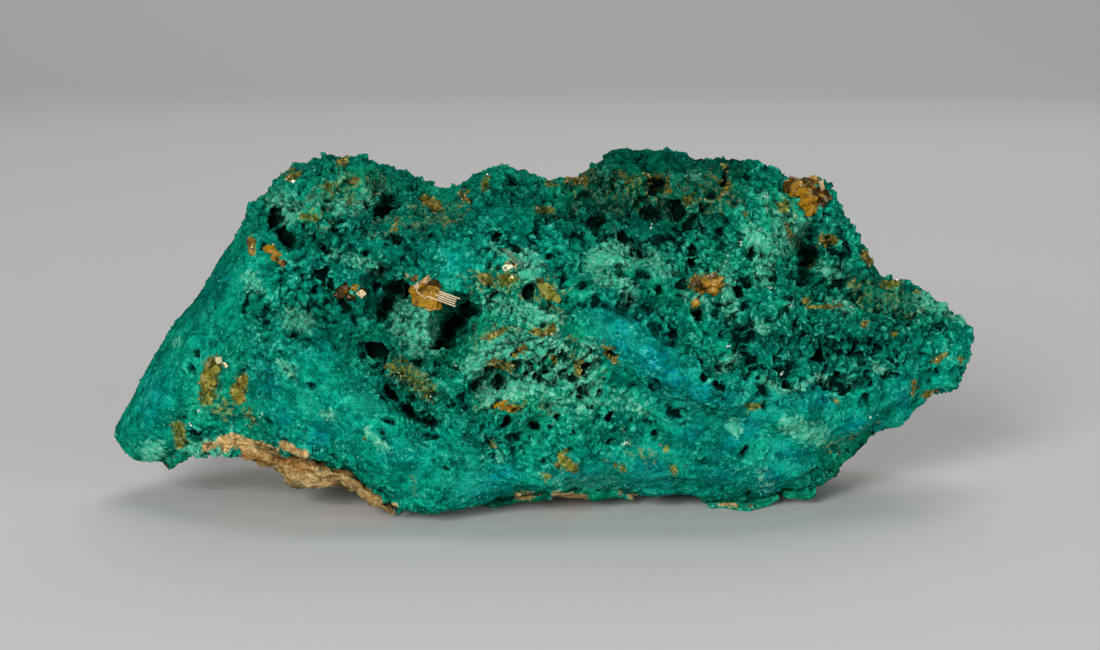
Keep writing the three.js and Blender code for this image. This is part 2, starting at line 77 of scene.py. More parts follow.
class Noise:
    """Steady noise on arrays of points, the same on every run."""

    # factors that scatter the cells' numbers, the bits that are kept, and more than any squared distance
    ACROSS, DEEP, HIGH, SALTED, STIRRED = 374761393, 668265263, 2147483647, 974634777, 1274126177
    WORD, SHORT = 0xFFFFFFFF, 0xFFFFFF
    FAR = 9.0

    @classmethod
    def number(cls, i: Points, j: Points, k: Points, salt: int) -> Points:
        """A number from 0 to 1 for each whole-numbered cell.

        Args:
            i, j, k: the cells' numbers along X, Y and Z.
            salt: which of many noises.

        Returns:
            The numbers.
        """
        n = i * cls.ACROSS + j * cls.DEEP + k * cls.HIGH + salt * cls.SALTED
        n &= cls.WORD
        n ^= n >> 13
        n *= cls.STIRRED
        n &= cls.WORD
        n ^= n >> 16
        n &= cls.SHORT
        return n / cls.SHORT

    @classmethod
    def smooth(cls, points: Points, size: float, salt: int) -> Points:
        """Soft noise from -1 to 1 with features of the given size.

        Args:
            points: places in millimetres.
            size: size of the features.
            salt: which of many noises.

        Returns:
            The noise at each point.
        """
        scaled = np.ascontiguousarray(points.T) / size
        cell = np.floor(scaled).astype(np.int64)
        part = scaled - cell
        part *= part * (3 - 2 * part)
        shares = (1 - part, part)
        total = np.zeros(len(points))
        for a, b, c in np.ndindex(2, 2, 2):
            weight = shares[a][0] * shares[b][1] * shares[c][2]
            total += weight * cls.number(cell[0] + a, cell[1] + b, cell[2] + c, salt)
        return 2 * total - 1

    @classmethod
    def rough(cls, points: Points, size: float, salt: int, octaves: int = 3) -> Points:
        """Noise of several sizes, each half of the last, from about -1 to 1.

        Args:
            points: places in millimetres.
            size: the largest size.
            salt: which of many noises.
            octaves: how many sizes.

        Returns:
            The noise at each point.
        """
        total = np.zeros(len(points))
        for octave in range(octaves):
            total += cls.smooth(points, size / 2**octave, salt + octave) / 2**octave
        return total / (2 - 2.0 ** (1 - octaves))

    @classmethod
    def pushes(cls, points: Points, size: float, salts: tuple[int, ...], octaves: int = 3) -> Points:
        """Noise of several sizes in a column for each salt, to push places about."""
        return np.stack([cls.rough(points, size, salt, octaves) for salt in salts], axis=1)

    @classmethod
    def cells(cls, points: Points, size: float, salt: int) -> tuple[Points, Points, Points]:
        """Distances to the two nearest cell middles, in cells, and the nearest cell's number.

        Args:
            points: places in millimetres.
            size: size of the cells.
            salt: which of many noises.

        Returns:
            The nearest distance, the second distance and the number.
        """
        scaled = np.ascontiguousarray(points.T) / size
        home = np.floor(scaled).astype(np.int64)
        nearest = np.full(len(points), cls.FAR)
        second = np.full(len(points), cls.FAR)
        number = np.zeros(len(points))
        for step in np.ndindex(3, 3, 3):
            cell = [home[axis] + step[axis] - 1 for axis in range(3)]
            away = np.zeros(len(points))
            for axis in range(3):
                away += (scaled[axis] - cell[axis] - cls.number(*cell, salt + axis)) ** 2
            closer = away < nearest
            second = np.where(closer, nearest, np.minimum(second, away))
            number = np.where(closer, cls.number(*cell, salt + 3), number)
            nearest = np.where(closer, away, nearest)
        return np.sqrt(nearest), np.sqrt(second), number


def ease(values: Points, low: float, high: float) -> Points:
    """Smooth step from 0 at low to 1 at high."""
    t = np.clip((values - low) / (high - low), 0, 1)
    return t * t * (3 - 2 * t)


def unit(vectors: Points) -> Points:
    """The vectors at length 1."""
    return vectors / np.maximum(np.linalg.norm(vectors, axis=1, keepdims=True), 1e-9)


def fetched(parts: bpy.types.bpy_prop_collection, name: str, width: int, kind: type) -> Points:
    """Numbers of a mesh's parts as an array.

    Args:
        parts: the parts, such as vertices.
        name: what to read.
        width: how many numbers a part has.
        kind: type of the numbers.

    Returns:
        A row for each part.
    """
    flat = np.empty(len(parts) * width, dtype=kind)
    parts.foreach_get(name, flat)
    return flat.reshape(-1, width)


def points_of(mesh: Mesh) -> Points:
    """A mesh's vertices as an array."""
    return fetched(mesh.vertices, "co", 3, float)


def normals_of(mesh: Mesh) -> Points:
    """A mesh's vertex normals as an array."""
    return fetched(mesh.vertex_normals, "vector", 3, float)


def ends_of(mesh: Mesh) -> Points:
    """The vertices at both ends of a mesh's edges, in two rows."""
    return fetched(mesh.edges, "vertices", 2, np.int64).T


def corners_of(mesh: Mesh) -> Points:
    """The vertices of a mesh's triangles, in a row for each triangle."""
    mesh.calc_loop_triangles()
    return fetched(mesh.loop_triangles, "vertices", 3, np.int32)


def move_points(mesh: Mesh, points: Points) -> None:
    """Puts a mesh's vertices at the given places."""
    mesh.vertices.foreach_set("co", points.astype(np.float32).ravel())
    mesh.update()


def spread(mesh: Mesh, values: Points, rounds: int) -> Points:
    """Values on a mesh's vertices, averaged with their neighbours a number of times.

    Args:
        mesh: the mesh.
        values: a number or a row for each vertex.
        rounds: how often.

    Returns:
        The averaged values.
    """
    a, b = ends_of(mesh)
    count = len(mesh.vertices)
    degree = np.maximum(np.bincount(a, minlength=count) + np.bincount(b, minlength=count), 1)
    columns = values.reshape(count, -1).copy()
    for _ in range(rounds):
        for axis in range(columns.shape[1]):
            column = columns[:, axis]
            near = np.bincount(a, column[b], count) + np.bincount(b, column[a], count)
            columns[:, axis] = 0.5 * column + 0.5 * near / degree
    return columns.reshape(values.shape)


def set_attribute(mesh: Mesh, name: str, values: Points) -> None:
    """Stores one number for each vertex, for the materials to read."""
    layer = mesh.attributes.new(name, "FLOAT", "POINT")
    layer.data.foreach_set("value", values.astype(np.float32))


def read_attribute(mesh: Mesh, name: str) -> Points:
    """Numbers stored on a mesh's vertices."""
    return fetched(mesh.attributes[name].data, "value", 1, np.float32)[:, 0].astype(float)


# ---------------- the line of sight


@dataclass(frozen=True)
class Sight:
    """The line of sight to the green face, and the sheet that marks are placed on."""

    lens: float = 85.0
    sensor: float = 36.0
    distance: float = 180.2
    rise: float = math.radians(8.0)
    aim: Triple = (0.42, 0.9, 11.78)
    aim_on_sheet: Spot = (0.42, 13.77)

    @property
    def forward(self) -> Points:
        """Direction of sight."""
        return np.array([0.0, math.cos(self.rise), -math.sin(self.rise)])

    @property
    def upward(self) -> Points:
        """The sheet's upward direction."""
        return np.array([0.0, math.sin(self.rise), math.cos(self.rise)])

    @property
    def eye(self) -> Points:
        """The point that the specimen is seen from."""
        return np.array(self.aim) - self.distance * self.forward

    def on_sheet(self, points: Points) -> Points:
        """Where points fall on the sheet, as (across, up).

        Args:
            points: places in millimetres.

        Returns:
            A row for each point.
        """
        away = points - self.eye
        scale = self.distance / (away @ self.forward)
        return np.stack(
            [
                self.aim_on_sheet[0] + scale * away[:, 0],
                self.aim_on_sheet[1] + scale * (away @ self.upward),
            ],
            axis=1,
        )

    def through(self, spot: Spot) -> Vector:
        """The direction from the eye through a point of the sheet.

        Args:
            spot: the point of the sheet.

        Returns:
            The direction, at length 1.
        """
        across = spot[0] - self.aim_on_sheet[0]
        up = spot[1] - self.aim_on_sheet[1]
        way = self.distance * self.forward + np.array([across, 0, 0]) + up * self.upward
        return Vector(way).normalized()


SIGHT = Sight()


class Surface:
    """The finished crust that crystals and grains are seated on."""

    def __init__(self, meshes: list[Mesh]) -> None:
        """Reads the crust's meshes, in millimetres, with their marks.

        Args:
            meshes: the meshes.
        """
        points, triangles, count = [], [], 0
        for mesh in meshes:
            triangles.append(corners_of(mesh) + count)
            points.append(points_of(mesh))
            count += len(mesh.vertices)
        self.points, self.triangles = np.concatenate(points), np.concatenate(triangles)
        self.marks = {
            name: np.concatenate([read_attribute(mesh, name) for mesh in meshes]) for name in MARKS
        }
        self.tree = BVHTree.FromPolygons(
            [Vector(p) for p in self.points], self.triangles.tolist(), all_triangles=True
        )

    def behind(self, spot: Spot) -> tuple[Vector, Vector]:
        """The place on the surface behind a point of the sheet, and its normal.

        Args:
            spot: the point of the sheet.

        Returns:
            The place and the normal.
        """
        place, normal, _, _ = self.tree.ray_cast(Vector(SIGHT.eye), SIGHT.through(spot))
        if place is None:
            place, normal, _, _ = self.tree.find_nearest(
                Vector(SIGHT.eye) + SIGHT.through(spot) * SIGHT.distance
            )
        return place, normal


class Lie:
    """The broad lie of a surface: its outward direction, averaged on a coarse grid."""

    # size of the grid's cells, how often they are averaged, and the empty cells round the mesh
    CELL, ROUNDS, MARGIN = 0.8, 3, 4

    def __init__(self, mesh: Mesh) -> None:
        """Averages the normals of a mesh with evenly spread vertices.

        Args:
            mesh: the mesh.
        """
        points = points_of(mesh)
        self.corner = points.min(axis=0) - self.MARGIN * self.CELL
        index = np.round((points - self.corner) / self.CELL).astype(int)
        self.grid = np.zeros((*(index.max(axis=0) + self.MARGIN + 1), 3))
        np.add.at(self.grid, tuple(index.T), normals_of(mesh))
        for _ in range(self.ROUNDS):
            for axis in range(3):
                sides = np.roll(self.grid, 1, axis) + np.roll(self.grid, -1, axis)
                self.grid = 0.5 * self.grid + 0.25 * sides

    def out(self, points: Points) -> Points:
        """The outward direction at each point.

        Args:
            points: places in millimetres.

        Returns:
            A direction for each, at length 1.
        """
        scaled = (points - self.corner) / self.CELL
        home = np.clip(np.floor(scaled).astype(int), 0, np.array(self.grid.shape[:3]) - 2)
        part = np.clip(scaled - home, 0, 1)
        total = np.zeros(points.shape)
        for corner in range(8):
            step = np.array([corner & 1, corner >> 1 & 1, corner >> 2 & 1])
            weight = np.prod(np.where(step == 1, part, 1 - part), axis=1)
            total += weight[:, None] * self.grid[tuple((home + step).T)]
        return unit(total)

    def facing(self, points: Points, low: float = -0.05, high: float = 0.3) -> Points:
        """How much each point is part of the green face, from 0 to 1."""
        towards = unit(SIGHT.eye - points)
        return ease(np.einsum("ij,ij->i", self.out(points), towards), low, high)


# ---------------- marks of the green face


class Sheet:
    """Points of the sheet, sorted from left to right so that those near a mark are found fast."""

    def __init__(self, places: Points) -> None:
        """Sorts the points."""
        self.order = np.argsort(places[:, 0])
        self.across, self.up = np.ascontiguousarray(places[self.order].T)

    def within(self, low: Points, high: Points) -> tuple[Points, Points]:
        """Numbers and places of the points inside a rectangle.

        Args:
            low: the rectangle's lower left corner.
            high: its upper right corner.

        Returns:
            The numbers and the places.
        """
        start, end = np.searchsorted(self.across, (low[0], high[0]))
        up = self.up[start:end]
        chosen = start + np.flatnonzero((up > low[1]) & (up < high[1]))
        return self.order[chosen], np.stack([self.across[chosen], self.up[chosen]], axis=1)


@dataclass(frozen=True)
class Pit:
    """A pit in the face, oval on the sheet: carved, and darkened with painted shade."""

    at: Spot
    half: Spot
    turn: float = 0.0
    depth: float = 1.0

    def bowl(self, sheet: Sheet) -> tuple[Points, Points]:
        """The points near the pit, and how deep in it each lies, from 0 to 1.

        Args:
            sheet: the points.

        Returns:
            Their numbers and depths.
        """
        c, s = math.cos(math.radians(self.turn)), math.sin(math.radians(self.turn))
        middle, reach = np.array(self.at), max(self.half)
        inside, close = sheet.within(middle - reach, middle + reach)
        dx, dz = (close - middle).T
        along = (c * dx + s * dz) / self.half[0]
        across = (c * dz - s * dx) / self.half[1]
        return inside, np.clip(1 - along**2 - across**2, 0, 1)


# across and up, half sizes along and across, and where they aren't 0 and 1, turn and depth
PITS = tuple(Pit(row[:2], row[2:4], *row[4:]) for row in (
    # left arm and flank
    (-24.1, 11.9, 0.3, 0.28), (-24.5, 10.8, 0.3, 0.4, 0, 0.5), (-23, 12.4, 0.25, 0.2, 0, 0.5),
    (-16.2, 9.65, 0.3, 0.25), (-19.1, 15.1, 0.3, 0.6, -6, 1.8), (-19.2, 14, 0.42, 0.35, 0, 1.6),
    (-19.1, 7, 0.3, 0.3, 0, 0.8), (-24.3, 6.2, 0.25, 0.2, 0, 0.6),
    # upper left knob
    (-17.8, 19.7, 0.85, 0.6, -25, 2.4), (-14, 21, 0.45, 0.25), (-14.9, 22.4, 0.5, 0.3, 0, 0.9),
    (-13.6, 23.7, 0.3, 0.25, 0, 0.7), (-10.9, 22.4, 0.9, 0.6, 20, 1.5), (-12.2, 22, 0.5, 0.3, 0, 0.8),
    (-10.2, 19.8, 0.7, 0.35, -20, 1.2), (-12.4, 18.7, 0.4, 0.3), (-15.2, 19, 0.25, 0.45, 10, 0.9),
    (-15.9, 16.1, 0.35, 0.2, -40, 0.6), (-16.6, 20.7, 0.4, 0.2, 0, 0.6), (-14.8, 16.6, 0.2, 0.5, 0, 0.7),
    # the hollow left of the middle
    (-10.35, 16.3, 0.85, 0.6, 25, 2.0), (-10.85, 15.3, 0.6, 0.8, -8, 2.2),
    (-11.3, 14.5, 0.5, 0.35, 0, 1.2), (-11.5, 16.5, 0.35, 0.3), (-13.7, 15, 0.55, 0.4, -30, 1.4),
    (-13.2, 14.2, 0.35, 0.6, 10, 1.2), (-12.3, 15, 0.25, 0.3, 0, 0.8), (-5.2, 14.7, 0.95, 0.6, 8, 2.0),
    (-6.1, 13.9, 1.05, 0.75, 28, 2.4), (-6.5, 13.2, 0.6, 0.8, -25, 2.0), (-7.2, 12.6, 0.55, 0.35, 25, 1.4),
    (-4.9, 13.6, 0.3, 0.3, 0, 0.9), (-11.8, 12.2, 0.25, 0.4), (-12.6, 11.6, 0.3, 0.3, 0, 0.7),
    (-9, 11.2, 0.45, 0.35),
    # slit under the lobe's crest
    (-10.6, 9, 1.0, 0.36, -47, 2.4), (-9.4, 7.8, 1.0, 0.36, -40, 2.4), (-8.3, 7.15, 0.8, 0.3, -12, 2.0),
    (-7.75, 6.9, 0.3, 0.4, 0, 1.6), (-10.9, 7.1, 0.6, 0.22, -15, 0.6), (-11.2, 6.2, 0.2, 0.35, 20, 0.4),
    (-6.7, 3.8, 0.25, 0.2, 0, 0.5), (-7, 1.35, 0.45, 0.2, 0, 0.5),
    # crumbly lump in the middle
    (-4.8, 9.6, 0.45, 0.65, -20, 1.4), (-3.1, 9.9, 0.7, 0.5, 0, 1.6), (-5.8, 8.8, 0.4, 0.35),
    (-5.6, 8, 0.35, 0.3), (-6.7, 8.2, 0.3, 0.2), (-2.6, 7.2, 0.4, 0.35), (-0.6, 6.75, 0.34, 0.36, 0, 1.5),
    (-2.25, 5.2, 0.24, 0.5, -8, 1.1), (-3.6, 4.8, 0.2, 0.2, 0, 0.5), (0.05, 9.95, 0.7, 0.2, -20, 1.1),
    (0.9, 7.3, 0.2, 0.3, 0, 0.7), (2.7, 10.85, 0.4, 0.32, 0, 1.2), (2.1, 6.2, 0.25, 0.2, 0, 0.6),
    (-2, 11.2, 0.3, 0.22, 0, 0.9), (0.4, 11.8, 0.25, 0.2, 30, 0.8),
    # middle and upper middle
    (-3.4, 19.95, 0.35, 0.25), (-0.5, 20.4, 0.2, 0.7, -12, 1.1), (2.2, 19.9, 0.9, 0.2, -42, 1.2),
    (1.3, 17.2, 0.22, 0.95, -4, 1.1), (-1, 16.3, 0.4, 0.3), (-3.6, 15.9, 0.4, 0.3),
    (-3.2, 17.7, 0.3, 0.25), (0.5, 18.6, 0.35, 0.25), (2.8, 16.6, 0.35, 0.35), (-8, 20, 0.2, 0.2),
    (-2.3, 24, 0.3, 0.35, 0, 0.9), (-2, 23.2, 0.35, 0.2, 0, 0.7), (-5.5, 23.4, 0.3, 0.3, 0, 0.7),
    (3.6, 15.8, 0.4, 0.2, 0, 0.8),
    # the hump
    (3.7, 21, 1.05, 0.5, 4, 2.2), (2.8, 22.8, 0.5, 0.4, 0, 1.1), (7.3, 21.6, 0.9, 0.6, -20, 1.3),
    (8, 19.6, 1.1, 0.45, 10, 1.2), (6.8, 17.2, 0.7, 0.4, -15, 1.1), (7.95, 16.4, 0.3, 0.25),
    (7.8, 23.6, 1.0, 0.55, 5, 1.8), (8.9, 22.2, 0.45, 0.3), (9, 20.4, 0.3, 0.3),
    (5.1, 17.8, 0.25, 0.35, 0, 0.7), (5.5, 16, 0.5, 0.2, 40, 0.8), (6.5, 24.9, 0.4, 0.25, 0, 0.6),
    # porous right of the middle
    (11.6, 22.75, 0.65, 0.32, 25, 1.3), (12.6, 24, 0.3, 0.75, -5), (13.2, 22.2, 0.45, 0.2),
    (12.2, 20.4, 0.5, 0.4), (10.3, 18.8, 0.4, 0.3), (12.3, 19.3, 0.4, 0.22), (14.35, 19.1, 0.28, 0.25),
    (14.3, 18.5, 0.4, 0.28), (10.8, 14.4, 0.45, 0.5, 0, 1.6), (13.9, 15.1, 0.3, 0.45),
    (8.2, 14.3, 0.25, 0.25), (9.1, 13.2, 0.3, 0.6, 20), (9, 12.6, 0.3, 0.4), (7.3, 14.9, 0.35, 0.2, -35),
    (12, 14.5, 0.22, 0.22), (13.7, 16.3, 0.18, 0.4), (17.2, 15.6, 0.35, 0.3), (17.5, 13.7, 0.32, 0.25),
    (18.25, 13.3, 0.25, 0.42), (16.5, 13, 0.28, 0.22), (15.7, 14.1, 0.2, 0.2), (16, 17.2, 0.3, 0.25),
    # beside and below the shoulder
    (18.6, 18.8, 0.65, 0.7, 0, 2.0), (18, 17.2, 0.5, 0.95, 25, 2.0), (18.6, 19.8, 0.35, 0.3),
    (20.5, 16.7, 0.9, 0.4, 15, 1.4), (21.9, 15.9, 0.45, 0.4), (19.5, 21.4, 0.25, 0.2),
    (21, 19.2, 0.3, 0.25), (19, 22.7, 0.25, 0.2, 0, 0.6),
    # right arm
    (19.6, 11.75, 0.2, 0.4), (17.8, 11.6, 0.3, 0.3), (21.2, 12.6, 0.4, 0.2), (22.6, 12.7, 0.42, 0.25, 15),
    (23.3, 12.1, 0.3, 0.3), (25.2, 12.8, 0.2, 0.45), (21.8, 11.4, 0.28, 0.4, 20), (22.3, 10.4, 0.28, 0.3),
    (24.2, 11.3, 0.25, 0.25), (22.4, 8.7, 0.3, 0.45, -10), (20.7, 9.4, 0.18, 0.42),
    (16.7, 10.5, 0.3, 0.22), (17, 9.5, 0.4, 0.18, 0, 0.8), (20.4, 5.1, 0.22, 0.35, 20, 0.7),
    (27.4, 13.7, 0.55, 0.4, 0, 0.7), (24.4, 14.8, 0.3, 0.2), (23, 15, 0.2, 0.5),
    (20.3, 10.3, 0.4, 0.2, 20, 0.8), (21.1, 12, 0.25, 0.25),
    # smooth bands
    (7.6, 9.4, 0.3, 0.5, 12, 1.3), (9, 7.6, 0.75, 0.27, -42, 1.3), (11, 10.1, 0.35, 0.3, -30, 1.2),
    (12.15, 9.45, 0.6, 0.32, -32, 1.4), (7.6, 5.9, 0.42, 0.16, 40, 0.9), (7.1, 7.2, 0.15, 0.75, 10, 0.5),
    (6.2, 8.3, 0.5, 0.13, -45, 0.4), (4.5, 7.2, 0.15, 0.5, -15, 0.5), (3.9, 9.3, 0.3, 0.3, 0, 0.8),
    (4.6, 11.6, 0.5, 0.35, -45, 1.2), (13.9, 5, 0.2, 0.65, -25, 0.9), (14.2, 1.9, 0.3, 0.6, 0, 0.9),
    (12.4, 2.45, 0.35, 0.3, 0, 0.7), (16.6, 1.85, 0.28, 0.2, 35, 0.6), (12.9, 10.95, 0.4, 0.35, 0, 0.7),
    (10.9, 11.4, 0.3, 0.3, 0, 0.6), (14.2, 11.6, 0.9, 0.2, -48), (11, 4.2, 0.35, 0.2, 0, 0.4),
))


@dataclass(frozen=True)
class Stroke:
    """A stretch of the face: a line on the sheet with a soft width."""

    # how many widths a stroke reaches, and more than any distance
    REACH: ClassVar[float] = 2.4
    FAR: ClassVar[float] = 99.0

    path: tuple[Spot, ...]
    width: float
    strength: float = 1.0

    def weight(self, sheet: Sheet) -> tuple[Points, Points]:
        """The points near the stretch, and how much each belongs to it.

        Args:
            sheet: the points.

        Returns:
            Their numbers and weights.
        """
        line, reach = np.array(self.path), self.REACH * self.width
        inside, close = sheet.within(line.min(axis=0) - reach, line.max(axis=0) + reach)
        nearest = np.full(len(inside), self.FAR)
        for start, end in zip(line, [*line[1:]] or line):
            along = end - start
            part = np.clip((close - start) @ along / max(along @ along, 1e-9), 0, 1)
            away = close - start - part[:, None] * along
            nearest = np.minimum(nearest, np.linalg.norm(away, axis=1))
        return inside, self.strength * np.exp(-((nearest / self.width) ** 2))


def strokes(*rows: tuple[Spot | float, ...]) -> tuple[Stroke, ...]:
    """Strokes that are listed, one in each row.

    Args:
        rows: a stroke's points, its width and, where it isn't 1, its strength.

    Returns:
        The strokes.
    """
    made = []
    for row in rows:
        path = tuple(part for part in row if isinstance(part, tuple))
        made.append(Stroke(path, *row[len(path) :]))
    return tuple(made)


def painted(laid: tuple[Stroke, ...], sheet: Sheet) -> Points:
    """The strongest of some strokes at each point of the sheet.

    Args:
        laid: the strokes.
        sheet: the points.

    Returns:
        A weight for each point.
    """
    total = np.zeros(len(sheet.order))
    for stroke in laid:
        inside, weight = stroke.weight(sheet)
        total[inside] = np.maximum(total[inside], weight)
    return total


SMOOTH = strokes(
    ((-29, 5.5), (-25.4, 11.6), (-22, 17.8), 2.8, 1.3), ((-20, 8), (-14, 7.5), (-9, 3.5), 2.6),
    ((-16, 11), (-11, 6.5), 1.8), ((4, 14), (8, 11.5), (10.5, 9.2), 1.7),
    ((6, 4), (12, 6), (20, 6.5), (25, 8.5), 2.3), ((-6, 2.2), (2, 3.4), (17, 3), 1.5),
    ((-6.3, 18.3), (-6.5, 17.2), 1.1, 0.8), ((-8.6, 16.2), (-6.8, 15.5), 0.9, 1.1),
    ((1.5, 8), (9, 8.4), 0.9, 0.5), ((-3, 21.6), (-1.5, 21), 1.1, 0.6),
)
POROUS = strokes(
    ((15, 10.5), (19, 11.5), (24, 12.4), 2.6), ((11, 14.6), (16, 15.4), (19.5, 19), 2.6),
    ((9.5, 19.5), (13, 21.5), 2.4), ((2, 20.5), (8, 20.6), 2.2, 0.9),
    ((-3.5, 8), (0.8, 9.8), (-1, 12.6), 2.8, 0.9), ((-1, 16.4), (3, 17), (5.5, 16.4), 2.0, 0.8),
    ((-18, 14.4), (-13.6, 18.6), 2.2, 0.7), ((-16, 20.8), (-10, 21.2), 2.0, 0.7),
    ((-12, 12.4), (-8, 10), 1.6, 0.7), ((3.6, 8.2), (5.2, 7.2), 1.4, 0.5),
)
SHADE = strokes(
    ((-12.5, 21.9), (-9.4, 22.9), 1.4, 0.7), ((-11, 20), (-9, 19.6), 1.0, 0.5),
    ((-13.8, 15), (-12, 14.5), (-10.6, 15.8), 1.1, 0.7), ((-6.8, 13), (-5.4, 14.5), 1.0, 0.75),
    ((-11.4, 12.2), (-9.4, 11), (-8.4, 9.6), 1.1, 0.55), ((2.4, 21.3), (5.2, 20.8), (8.2, 20.4), 1.1, 0.6),
    ((6.6, 22), (8.6, 22.2), 1.0, 0.6), ((7.4, 19), (6.6, 17.3), 1.0, 0.6),
    ((10.8, 23.2), (12, 23.5), 0.9, 0.5), ((11.6, 21), (12.2, 19.4), 0.9, 0.65),
    ((18.4, 19.6), (17.9, 17.2), (20.4, 16.5), (22, 16), 1.1, 0.9),
    ((10.6, 14.6), (13.8, 14.8), 0.9, 0.25), ((15.6, 12.2), (21, 11.9), (24, 12.6), 1.5, 0.4),
    ((-3.2, 9.9), (-5.2, 8.6), 0.9, 0.55), ((-0.6, 6.8), (-2.3, 5.3), 0.7, 0.45),
    ((-19.2, 15.2), (-19.2, 13.9), 0.7, 0.6), ((-17.8, 19.7), 0.9, 0.6),
    ((1.2, 17.4), (-0.9, 16.3), 0.7, 0.5), ((14.3, 18.7), 0.6, 0.6), ((8.2, 8.3), (9.3, 7.3), 0.6, 0.4),
    ((-2.6, 24), (-1.8, 23), 0.7, 0.4), ((3, 23.2), (4.4, 22.2), 0.7, 0.4),
)
# Stretches painted darker: painted shade at the silhouette's edges and the hump, elsewhere just darker.
DIM = strokes(
    ((-13.6, 12.8), (-10.4, 12.6), 1.2, 0.55), ((-10.6, 18.6), (-9.2, 18.2), 1.2, 0.5),
    ((6.6, 15.8), (8, 15.2), 1.0, 0.5), ((-10.2, 11.6), (-7.8, 11), 1.2, 0.5),
    ((-20, 20.6), (-18.6, 22.6), 1.2, 0.4), ((-24.6, 14.6), (-21.2, 19), 1.2, 0.45),
    ((-18.6, 24.4), (-14, 25.6), (-9, 23.6), 0.8, 0.5),
    ((2.6, 21.8), (6, 21.8), (8.6, 21.2), (8.6, 22), 1.8, 0.9),
    ((3, 24), (8, 24.2), (12, 23.4), 2.2, 0.85), ((-23.5, 12.5), (-20, 9.5), 2.4, 0.2),
    ((7, 18), (9, 16.4), 1.4, 0.4), ((15, 12.2), (19, 12), (24, 12.6), 2.2, 0.3),
    ((12, 15), (17, 15), 2.0, 0.2), ((18.4, 18.4), (18, 16.8), 1.6, 0.5),
    ((-12.4, 21), (-9.5, 21.6), 1.8, 0.5), ((-17, 24.2), (-13, 24.8), (-8, 22.4), 1.0, 0.4),
    ((-8, 20.6), (-4, 22.6), (0, 22.6), 1.8, 0.6), ((4, 25.4), (9, 25.6), (13.4, 24.8), 1.4),
    ((-16, 19.8), (-11, 19.4), 1.8, 0.4), ((-16, 14.2), (-13.4, 13.4), 1.6, 0.5),
    ((-12.6, 11.8), (-11.2, 11), 1.5, 0.4), ((-13, 15), (-10, 15.2), 1.3, 0.5), ((-6.2, 13.6), 1.3, 0.5),
    ((-5, 8.8), (-5, 6), 1.6, 0.35), ((-18.8, 6.4), 1.4, 0.3), ((21.6, 17.2), (23, 16.2), 1.5, 0.6),
    ((9, 14.4), (9.4, 12), 1.1, 0.35), ((8, 6), (13, 5.6), 1.2, 0.2), ((2, 21), (3.4, 17), 1.2, 0.3),
    ((4, 3.6), (12, 3.6), 1.6, 0.16), ((-17.5, 22), (-13, 21.5), 1.8, 0.18),
)
INK = strokes(
    ((6.8, 3.9), (8.4, 3.8), 0.5, 0.9), ((9.8, 6.2), (11, 6.9), 0.5, 0.8),
    ((10.4, 4.4), (12.4, 4.6), 0.45, 0.7), ((14.6, 7.1), (15.4, 7), 0.4, 0.7),
    ((2.4, 5.6), (4, 6.4), 0.4, 0.4), ((17.8, 5.6), (19.6, 6.2), 0.5, 0.5),
    ((8, 9.2), (10.4, 8), 0.6, 0.6), ((8.6, 12.6), (10.4, 10.9), 0.7, 0.5),
    ((15.6, 12.6), (18.8, 12.8), (22.6, 13.4), 1.3, 0.5), ((11.6, 15), (14.4, 13.4), 0.9, 0.4),
    ((3.4, 21.8), (7.4, 20.6), 1.2, 0.5), ((5, 18.4), (8, 19.8), 0.9, 0.5),
    ((-17.6, 12.6), (-13.4, 12.8), 1.4, 0.6), ((-15.6, 17.4), (-11.4, 17.2), 1.2, 0.5),
    ((-12.6, 20.4), (-9, 21.4), 1.3, 0.5), ((-8, 19.6), (-4.4, 19.8), 1.0, 0.4),
    ((-13.4, 10.8), (-12, 9.4), 0.7, 0.4), ((-10.2, 11.8), (-8.2, 8.2), 1.0, 0.5),
    ((-4.8, 6.4), (-2.4, 5.4), 0.9, 0.4), ((-6.4, 4.6), (-4, 3), 0.7, 0.3),
    ((11.4, 3.2), (13, 3.7), 0.5, 0.5),
)
SEA = strokes(
    ((-15, 7.5), (-9, 4), (-4, 3), 3.5), ((-6, 2.2), (4, 3.2), (17, 3.2), 2.2),
    ((4.5, 14), (8.5, 11), (14, 8.6), (19.5, 8.6), 2.2), ((20, 7), (25, 9.5), (28.5, 12), 2.6, 0.9),
    ((10, 6), (17, 6), 2.4, 0.8), ((-28, 7), (-24, 12), 2.5, 0.5), ((-20, 9), (-16, 11), 2.5, 0.8),
    ((-19, 17), (-12, 18.5), (-5, 19.5), (0, 20), 2.6, 0.9),
)
LEAFY = strokes(
    ((-9, 14), (-3, 12), (0, 9), (2, 13), 2.8), ((2, 22), (9, 23), (12, 22), 2.4),
    ((-15, 22.8), (-8, 23), 1.6, 0.8), ((-18.4, 22), (-14, 21), 1.8, 0.6),
    ((11.5, 18.5), (16, 21), (19, 17), 2.4, 0.8), ((-23, 9), (-20, 8), 1.5, 0.7),
    ((23, 16), (26.5, 15), 1.5, 0.9), ((5, 17), (8, 18.6), 1.4, 0.6), ((-4.4, 17), (-2, 16.4), 1.2, 0.7),
    ((15, 21.6), (17, 20.6), 1.4, 0.6),
)
